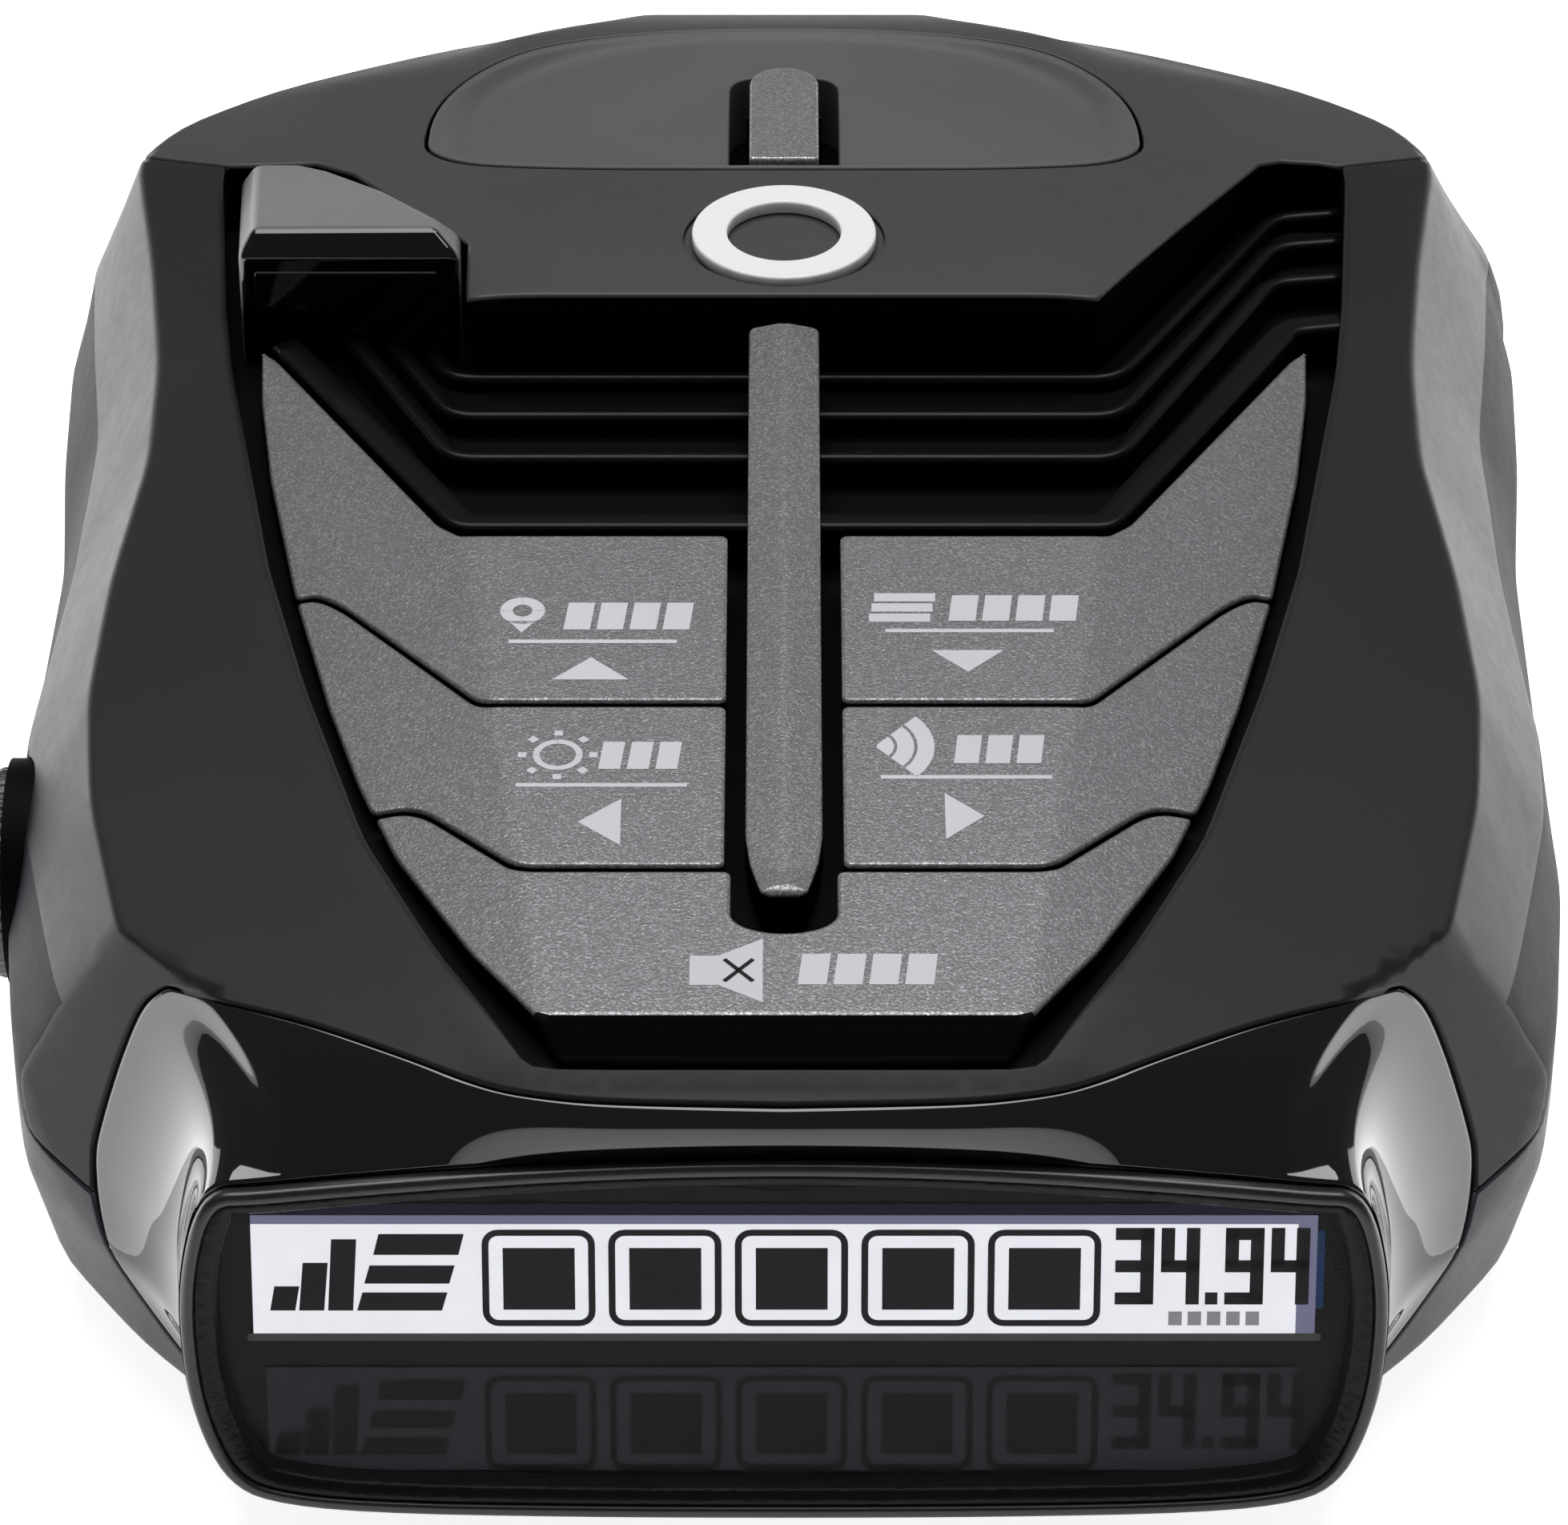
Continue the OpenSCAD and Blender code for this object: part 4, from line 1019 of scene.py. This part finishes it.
def build_keys():
    for key, loop in key_loops().items():
        ys = np.arange(-49.8, 14, 1.2)
        crease_rows = [(side * (crease_x(y) + d), y) for y in ys for side in (-1, 1)
                       for d in (-0.35, 0, 0.35)]
        front = [(x, FRONT_CREASE_Y + d) for x in np.arange(-12, 12.5, 0.8)
                 for d in (-0.45, -0.13, -0.03, 0.08, 0.35)]
        extra = crease_rows + (front if key == "mute_key" else [])
        # Key walls are painted near-black as shade in the grooves between keys
        skin(key + "_cap", roof, [round_corners(loop, 0.45)], "paint", body=key, step=0.7, radius=0.24,
             depth=0.4, grid=2.2, extra=extra, floor_z=KEY_FLOOR, wall_shade_mat="inner",
             slot="key_paint", replaces=(key,))
    # The mute key's front chamfer takes the near-black inner colour: painted shade on the face turned down
    # towards the driver
    front = bpy.data.objects["mute_key_cap"].data
    for face in front.polygons:
        if face.center.y < CHAMFER_SHADE_Y * MM:
            face.material_index = 1


LEGEND_LIFT = 0.018


def flat_shapes(name, shapes, place, mat, body_name):
    """One face for each outline, put in place by a function and turned to face outwards."""
    verts, faces = [], []
    for shape in shapes:
        order = range(len(verts), len(verts) + len(shape))
        verts += list(place(shape))
        faces.append(tuple(order if area(np.array(shape, float)) > 0 else reversed(order)))
    return to_object(name, verts, faces, mat, body_name, smooth=False)


def legend(name, key, shapes, mat="legend", lift=LEGEND_LIFT):
    """Flat printed marks that lie on the keypad's centre plane."""
    def place(shape):
        return [(x, y, KEYS_Z + (y - KEYS_Y) * KEYS_RISE + lift) for x, y in shape]

    return flat_shapes(name, shapes, place, mat, key)


def bar(x0, x1, y, h=0.33):
    return [(x0, y - h / 2), (x1, y - h / 2), (x1, y + h / 2), (x0, y + h / 2)]


def slab(x0, y0, x1, y1, slant=0.0):
    return [(x0, y0), (x1, y0), (x1 + slant, y1), (x0 + slant, y1)]


def blocks(x0, x1, y0, y1, count, slant=0.25, space=0.36):
    """A word's place, filled with plain slanted blocks."""
    w = (x1 - x0 - slant - space * (count - 1)) / count
    return [slab(x0 + k * (w + space), y0, x0 + k * (w + space) + w, y1, slant) for k in range(count)]


def strip_arc(cx, cy, r0, r1, a0, a1, n=12, squash=1.0):
    out = [(cx + r1 * math.cos(math.radians(a)), cy + r1 * squash * math.sin(math.radians(a)))
           for a in np.linspace(a0, a1, n)]
    out += [(cx + r0 * math.cos(math.radians(a)), cy + r0 * squash * math.sin(math.radians(a)))
            for a in np.linspace(a1, a0, n)]
    return out


def pin_mark(cx, top, bottom):
    """Map pin: a ring above a point."""
    r = 1.25
    cy = top - r
    head = [strip_arc(cx, cy, 0.55, r, a, a + 92, 8) for a in (-90, 0, 90, 180)]
    return head + [[(cx - 0.75, cy - 0.95), (cx, bottom), (cx + 0.75, cy - 0.95)]]


def sun_mark(cx, cy):
    out = [strip_arc(cx, cy, 0.98, 1.35, a, a + 92, 8) for a in (0, 90, 180, 270)]
    for k in range(8):
        a = math.radians(45 * k)
        d, n = np.array([math.cos(a), math.sin(a)]), np.array([-math.sin(a), math.cos(a)])
        c = np.array([cx, cy])
        out.append([tuple(c + d * 1.7 - n * 0.23), tuple(c + d * 2.15 - n * 0.23),
                    tuple(c + d * 2.15 + n * 0.23), tuple(c + d * 1.7 + n * 0.23)])
    return out


def wave_mark(x, y):
    return [strip_arc(x, y, r, r + 0.92, -46, 46, 9, 1.15) for r in (0.12, 1.22, 2.32)]


def speaker_mark(x, y):
    return [[(x, y - 1.2), (x + 1.5, y - 1.2), (x + 3.8, y - 2.6), (x + 3.8, y + 2.6), (x + 1.5, y + 1.2),
             (x, y + 1.2)]]


def cross_mark(x, y, reach, width):
    out = []
    for s in (-1, 1):
        a, b = np.array([x - reach, y - s * reach * 1.2]), np.array([x + reach, y + s * reach * 1.2])
        n = unit(np.array([-(b - a)[1], (b - a)[0]])) * width / 2
        out.append([tuple(a - n), tuple(b - n), tuple(b + n), tuple(a + n)])
    return out


def build_legends():
    legend("mark_legend", "mark_key", pin_mark(-14.5, -11.8, -15.1) + blocks(-12.2, -5.0, -14.8, -12.3, 4)
           + [bar(-15.2, -5.9, -15.9), [(-12.7, -19.4), (-8.5, -19.4), (-10.6, -17.35)]])
    menu = [bar(4.7 + 0.15 * k, 8.1 + 0.15 * k, -13.7 + k * 0.95, 0.78) for k in range(3)]
    legend("menu_legend", "menu_key", menu + blocks(9.1, 16.4, -14.0, -11.6, 4)
           + [bar(5.6, 14.9, -14.9), [(8.1, -16.7), (10.1, -18.7), (12.1, -16.7)]])
    legend("dim_legend", "dim_key", sun_mark(-12.2, -26.15) + blocks(-10.0, -5.5, -27.4, -25.0, 3)
           + [bar(-14.4, -5.2, -28.8), [(-11.0, -32.0), (-8.7, -34.0), (-8.7, -30.0)]])
    legend("sensitivity_legend", "sensitivity_key",
           wave_mark(4.9, -25.4) + blocks(9.15, 14.1, -26.9, -24.4, 3)
           + [bar(5.2, 14.4, -28.1), [(8.6, -29.5), (8.6, -33.5), (10.7, -31.5)]])
    legend("mute_legend", "mute_key", speaker_mark(-4.9, -44.45) + blocks(0.7, 8.0, -45.6, -43.1, 4))
    legend("mute_cross", "mute_key", cross_mark(-2.35, -44.45, 0.75, 0.24), "ink", 2 * LEGEND_LIFT)


def build_spine():
    outline = [(-2.1, 15.3), (-2.1, -33), (-1.85, -35.4), (-1.2, -38.3), (1.2, -38.3), (1.85, -35.4),
               (2.1, -33), (2.1, 15.3)]

    def ridge(p):
        p = np.atleast_2d(np.array(p, float))
        side = roof(np.stack([p[:, 0] * 0, np.maximum(p[:, 1], -36.0)], axis=1))[:, 2]
        z = side + 0.26 - np.sqrt((p[:, 0] * 0.22) ** 2 + 0.0012)
        nose = 28.25 + (p[:, 1] + 37.6) * 1.15
        return np.stack([p[:, 0], p[:, 1], soft_min(0.05, z, nose)], axis=1)

    extra = [(x, y) for y in np.arange(-39.4, 15, 0.9) for x in (-0.5, -0.16, 0, 0.16, 0.5)]
    # The bar's side walls are painted near-black as shade in the channel beside the keys
    skin("spine_trim_bar", ridge, [round_corners(outline, 0.5)], "trim_paint", step=0.6, radius=0.18,
         depth=0.5, grid=1.3, extra=extra, floor_z=25.65, wall_shade_mat="inner",
         slot="key_paint", replaces=("spine_trim",))


def build_deck():
    """The recess floor under the keys and the louvres, near-black as painted shade."""
    outline = [(float(recess(y)) + 1.0, y) for y in np.linspace(-50.8, 34, 30)]
    disc("key_deck", outline + flipped(outline), DECK_Z, "inner")


# ---------------------------------------------------------------- display picture

LIT_N, INK_N = -1.62, -1.56  # depths of the lit field and of the dark shapes on it
REFLECTION_DROP = 8.4  # how far below the picture its painted reflection lies


def plate(name, shapes, n, mat):
    """Flat shapes on the display, in the display's own plane, facing the driver."""
    return flat_shapes(name, shapes, lambda shape: on_display(shape, n), mat, "case")


def box_ring(x0, y0, x1, y1, w, r):
    """Outline of a rounded box drawn as four strips and four corners."""
    out = [slab(x0 + r, y0, x1 - r, y0 + w), slab(x0 + r, y1 - w, x1 - r, y1),
           slab(x0, y0 + r, x0 + w, y1 - r), slab(x1 - w, y0 + r, x1, y1 - r)]
    for cx, cy, a in corner_centres(x0, y0, x1, y1, r):
        out.append(strip_arc(cx, cy, r - w, r, a, a + 90, 6))
    return out


SEGMENTS = {"2": "abged", "3": "abgcd", "4": "fgbc", "9": "abcdfg"}


def digit(x, y, w, h, t, char):
    """One seven-segment figure."""
    m = y + h / 2
    parts = {
        "a": slab(x, y + h - t, x + w, y + h), "d": slab(x, y, x + w, y + t),
        "g": slab(x, m - t / 2, x + w, m + t / 2),
        "f": slab(x, m, x + t, y + h), "b": slab(x + w - t, m, x + w, y + h),
        "e": slab(x, y, x + t, m), "c": slab(x + w - t, y, x + w, m),
    }
    return [parts[s] for s in SEGMENTS[char]]


def screen_shapes():
    """Dark shapes of the screen: an icon, five status boxes, a reading and its unit bars."""
    ink, soft = [], []
    for k in range(3):
        ink.append(slab(-26.6 + k * 1.5, 0.9, -25.3 + k * 1.5, 2.3 + k * 1.35, 0.25))
    ink += [slab(-21.2, 4.1, -16.8, 5.3, 0.3), slab(-21.7, 2.45, -17.3, 3.5, 0.3),
            slab(-22.1, 0.9, -17.7, 1.95, 0.3)]
    for k in range(5):
        x0 = -15.6 + k * 6.53
        ink += box_ring(x0, 0.0, x0 + 5.85, 5.55, 0.36, 0.85)
        ink.append(slab(x0 + 1.08, 0.95, x0 + 4.8, 4.5))
    x = 17.1
    for char in "34":
        ink += digit(x, 1.25, 2.0, 4.4, 0.7, char)
        x += 2.36
    ink.append(slab(x - 0.05, 1.25, x + 0.6, 1.95))
    x += 0.95
    for char in "94":
        ink += digit(x, 1.25, 2.0, 4.4, 0.7, char)
        x += 2.36
    for k in range(5):
        soft.append(slab(19.9 + k * 1.0, 0.05, 20.6 + k * 1.0, 0.85))
    return ink, soft


def build_display():
    ink, soft = screen_shapes()
    plate("screen_light", [slab(-27.5, -0.45, 27.5, 6.3)], LIT_N, "lit")
    plate("screen_top_shade", [slab(-27.5, 5.85, 27.5, 6.35)], LIT_N + 0.03, "lit_edge")
    plate("screen_side_shade", [slab(26.5, -0.45, 27.5, 5.85)], LIT_N + 0.03, "lit_edge")
    plate("screen_lip", [slab(-27.8, -0.85, 27.8, -0.42)], LIT_N + 0.05, "lip")
    plate("screen_ink", ink, INK_N, "ink")
    plate("screen_unit", soft, INK_N, "unit")
    plate("screen_violet_edge", [slab(-27.5, 6.35, 27.0, 7.0)], LIT_N + 0.02, "violet")
    plate("screen_blue_edge", [slab(27.5, 1.0, 27.9, 5.5)], LIT_N + 0.02, "blue")
    # A faint glowing copy of the picture below it: a painted reflection of the lit screen
    plate("screen_painted_reflection", [slab(-26.9, -REFLECTION_DROP, 26.8, -REFLECTION_DROP + 6.0)], LIT_N + 0.02, "painted_reflection")
    copy = [[(u, v - REFLECTION_DROP) for u, v in shape] for shape in ink]
    plate("screen_painted_reflection_ink", copy, LIT_N + 0.05, "painted_reflection_ink")
    loop = offset_loop(resample(frame_outline(), 0.8), -1.3)
    back = plate("screen_back", [loop], -1.72, "well")
    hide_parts("display_panel")


def rounded_path(points, radius, n=7):
    """An open path with its inner corners turned into arcs."""
    p = [np.array(q, float) for q in points]
    out = [p[0]]
    for a, q, b in zip(p, p[1:], p[2:]):
        s = q + unit(a - q) * min(radius, 0.45 * np.linalg.norm(a - q))
        e = q + unit(b - q) * min(radius, 0.45 * np.linalg.norm(b - q))
        out += [bend(s, q, e, t) for t in np.linspace(0, 1, n)]
    return np.array(out + [p[-1]])


def bar_sweep(name, path, profile, mat, **keys):
    """A closed profile of (sideways, z) points carried along a level path, with both ends closed."""
    path = resample(path, 1.0, closed=False)
    run = unit(np.gradient(path, axis=0))
    side = np.stack([run[:, 1], -run[:, 0]], axis=1)
    m = len(profile)
    verts = []
    for p, n in zip(path, side):
        verts += [(p[0] + n[0] * d, p[1] + n[1] * d, z) for d, z in profile]
    faces = strips(len(path), m)
    faces.append(tuple(range(m))[::-1])
    faces.append(tuple(range((len(path) - 1) * m, len(path) * m)))
    return to_object(name, verts, faces, mat, "case", **keys)


LOUVRES = [
    (1.7, 28.0, [(-29.8, 16.4), (-28.4, 14.2), (-18.6, -2.9), (18.6, -2.9), (30.2, 18.4), (33.6, 19.0)]),
    (1.0, 27.2, [(-25.6, 18.4), (-19.3, 5.6), (19.3, 5.6), (29.4, 25.3), (34.0, 25.9)]),
    (1.0, 26.7, [(-23.2, 18.6), (-19.5, 11.0), (19.5, 11.0), (29.9, 30.4), (34.2, 31.0)]),
    (1.0, 26.2, [(-21.0, 18.7), (-19.7, 16.0), (19.7, 16.0), (30.1, 34.6), (34.3, 35.2)]),
]
LOUVRE_FLOOR = 22.3


def build_louvres():
    """Four ridges that follow the bridge's front edge: a deep step, a rounded lip and a slope behind it."""
    for k, (thick, top, turns) in enumerate(LOUVRES):
        path = rounded_path(turns, 0.9 if k == 0 else 1.4)
        r = 0.42
        lip = [(r * math.sin(a), top - r + r * math.cos(a)) for a in np.linspace(0, math.pi / 2, 6)]
        profile = [(0.55, LOUVRE_FLOOR)] + [(d + 0.13, z) for d, z in reversed(lip)]
        profile += [(-thick + 0.75, top - 0.06), (-thick + 0.35, top - 0.3), (-thick - 0.5, top - 1.5),
                    (-thick - 0.6, LOUVRE_FLOOR)]
        keys = {"slot": "grille_plastic", "replaces": ("louvre_grille",)} if k == 0 else {}
        bar_sweep("louvre_%d" % k, path, profile, "grille", **keys)
    # A near-black plate under the louvres: painted shade in the recess
    edge = [(float(recess(y)) + 0.6, y) for y in np.linspace(-1.0, 34, 16)]
    disc("louvre_base", edge + flipped(edge), LOUVRE_FLOOR + 0.1, "inner")


POD_BASE = [(-33.3, 35.4), (-28.8, 35.4), (-26.4, 33.6), (-22.6, 28.6), (-19.3, 23.2), (-19.1, 18.8),
            (-32.2, 18.8)]
POD_TOP = [(-32.3, 34.7), (-29.7, 34.7), (-28.0, 33.4), (-24.4, 28.8), (-20.8, 22.2), (-20.5, 20.1),
           (-31.4, 19.9)]


def build_pod():
    """The road-side sensor housing: tapered flanks, a matte roof and a black window face."""
    def height(y):
        return 33.8 - (y - 20) * 0.282

    rings = [[(x, y, 22.6) for x, y in POD_BASE], [(x, y, height(y) - 1.5) for x, y in POD_BASE],
             [(x, y, height(y)) for x, y in POD_TOP]]
    verts = [v for ring in rings for v in ring]
    m = len(POD_BASE)
    faces = [tuple(range(m)), tuple(range(3 * m - 1, 2 * m - 1, -1))]
    for k in range(2):
        for i in range(m):
            j = (i + 1) % m
            faces.append((k * m + i, (k + 1) * m + i, (k + 1) * m + j, k * m + j))
    obj = to_object("laser_pod_shell", verts, faces, "pod", "case", slot="case_plastic",
                    replaces=("laser_pod",))
    obj.data.materials.append(MAT["road_window"])
    for face in obj.data.polygons:
        if face.normal.y < -0.5:
            face.material_index = 1
    bevel(obj, 0.45, 4, 12.0)


def turned(name, rings, mat, body_name, ridges=0, **keys):
    """A turned part about the knob's axis, from (x, radius, knurl height) rings."""
    n = 216
    verts = []
    for x, r, knurl in rings:
        for i in range(n):
            a = 2 * math.pi * i / n
            w = r + knurl * math.cos(ridges * a)
            verts.append((x, KNOB_Y + w * math.cos(a), KNOB_Z + w * math.sin(a)))
    last = len(rings) - 1
    faces = strips(len(rings), n) + [tuple(range(last * n, last * n + n))]
    return to_object(name, verts, faces, mat, body_name, **keys)


def build_knob():
    rings = [(-40.9, 3.0, 0), (-41.0, 5.7, 0), (-41.15, 5.88, 0.02), (-41.35, 5.9, 0.1), (-43.7, 5.84, 0.1),
             (-44.05, 5.76, 0.05), (-44.3, 5.62, 0), (-44.5, 5.36, 0), (-44.58, 5.0, 0), (-44.5, 4.7, 0),
             (-44.25, 4.45, 0), (-44.2, 4.1, 0), (-44.3, 2.0, 0), (-44.32, 0.1, 0)]
    turned("volume_knob_cap", rings, "knob", "volume_knob", 48, slot="knob_plastic",
           replaces=("volume_knob",))
    mark = [(-44.3, 3.6), (-44.3, 2.4)]
    verts = [(x - 0.05, KNOB_Y + w, KNOB_Z + z) for x, z in mark for w in (-0.22, 0.22)]
    to_object("knob_mark", verts, [(0, 2, 3, 1)], "legend", "volume_knob", smooth=False)
    # A near-black cup round the knob: painted shade inside the well
    cup = [(-43.3, WELL_R - 0.02, 0), (-38.9, WELL_R - 0.02, 0), (-38.8, WELL_R - 0.3, 0), (-38.8, 0.1, 0)]
    turned("knob_well", cup, "inner", "case")


def dress_cad_pieces():
    """The CAD nodes that stay as they are, by material and width of the rounded edges."""
    looks = {
        ("emblem", 0.15): ["emblem_ring"],
        ("tongue", 0.35): ["release_button"],
        ("road_window", 0.12): ["pod_window"],
        ("road_window", 0.2): ["front_window"],
        ("lens_red", 0.1): ["pod_sensor", "laser_lens"],
        ("inner", 0.15): ["power_jack", "speaker"],
        ("inner", 0.1): ["display_holder", "processor"],
        ("tin", 0.1): ["usb_port"],
        ("tin", 0.12): ["horn_antenna", "rf_shield"],
        ("steel", 0.12): ["case_screws", "volume_pot"],
        ("steel", 0.1): ["board_screws"],
        ("steel", 0.0): ["release_spring"],
        ("label", 0.04): ["bottom_label"],
        ("glass", 0.0): ["display_window"],
        ("copper", 0.0): ["display_flex"],
        ("board", 0.0): ["laser_board", "rf_board", "main_board", "key_board"],
        ("ceramic", 0.15): ["gps_antenna"],
        ("rubber", 0.1): ["key_membrane", "speaker_gasket"],
        ("brass", 0.05): ["contact_domes"],
    }
    for (mat, width), nodes in looks.items():
        for node in nodes:
            dress(node, mat, width)


# ---------------------------------------------------------------- camera, light, floor


def area_light(name, place, target, size, power):
    data = bpy.data.lights.new(name, "AREA")
    data.shape = "RECTANGLE"
    data.size, data.size_y = size[0] * MM, size[1] * MM
    data.energy = power
    obj = bpy.data.objects.new(name, data)
    obj.location = Vector(place) * MM
    obj.rotation_euler = (Vector(target) - Vector(place)).to_track_quat("-Z", "Y").to_euler()
    scene.collection.objects.link(obj)


LENS = 155.6
CAMERA_PLACE, CAMERA_DOWN = (0, -325.8, 237.4), 35
FLOOR_SIZE, FLOOR_Z = 2600.0, -0.02


def build_studio():
    cam = bpy.data.cameras.new("camera")
    cam.sensor_width = 36.0
    cam.lens = LENS
    cam.clip_start, cam.clip_end = 0.02, 30.0
    obj = bpy.data.objects.new("camera", cam)
    obj.location = Vector(CAMERA_PLACE) * MM
    obj.rotation_euler = (math.radians(90 - CAMERA_DOWN), 0, 0)
    scene.collection.objects.link(obj)
    scene.camera = obj
    corners = ((-1, -1), (1, -1), (1, 1), (-1, 1))
    verts = [(x * FLOOR_SIZE, y * FLOOR_SIZE, FLOOR_Z) for x, y in corners]
    mesh = bpy.data.meshes.new("floor")
    mesh.from_pydata([tuple(c * MM for c in v) for v in verts], [], [(0, 1, 2, 3)])
    floor_mat = Nodes("floor_pale")
    floor_mat.set(Roughness=0.9, Emission_Color=(1.0, 1.0, 1.0), Emission_Strength=0.85)
    floor_mat.link(floor_mat.ramp(floor_mat.noise(3.0, 1.0), [(0.3, 0.9), (0.7, 0.92)]), "Base Color")
    mesh.materials.append(floor_mat.mat)
    floor = bpy.data.objects.new("floor", mesh)
    scene.collection.objects.link(floor)
    world = bpy.data.worlds.new("studio")
    scene.world = world
    world.use_nodes = True
    back = world.node_tree.nodes["Background"]
    back.inputs["Color"].default_value = (0.5, 0.52, 0.56, 1)
    back.inputs["Strength"].default_value = 0.25
    for side in (-1, 1):
        area_light("floor_card", (side * 165, 40, 1), (side * 165, 40, 100), (210, 330), 0.33)
        area_light("rail_box", (side * 330, 400, 90), (side * 38, -10, 20), (300, 170), 0.31)
    area_light("top_box", (0, 125, 500), (0, -10, 0), (420, 330), 2.3)
    scene.view_settings.view_transform = "Standard"
    scene.view_settings.look = "None"


build_studio()
build_upper_case()
build_rear_cover()
build_dish()
build_lower_case()
build_bezel()
build_frame()
build_keys()
build_legends()
build_spine()
build_deck()
build_display()
build_louvres()
build_pod()
build_knob()
dress_cad_pieces()
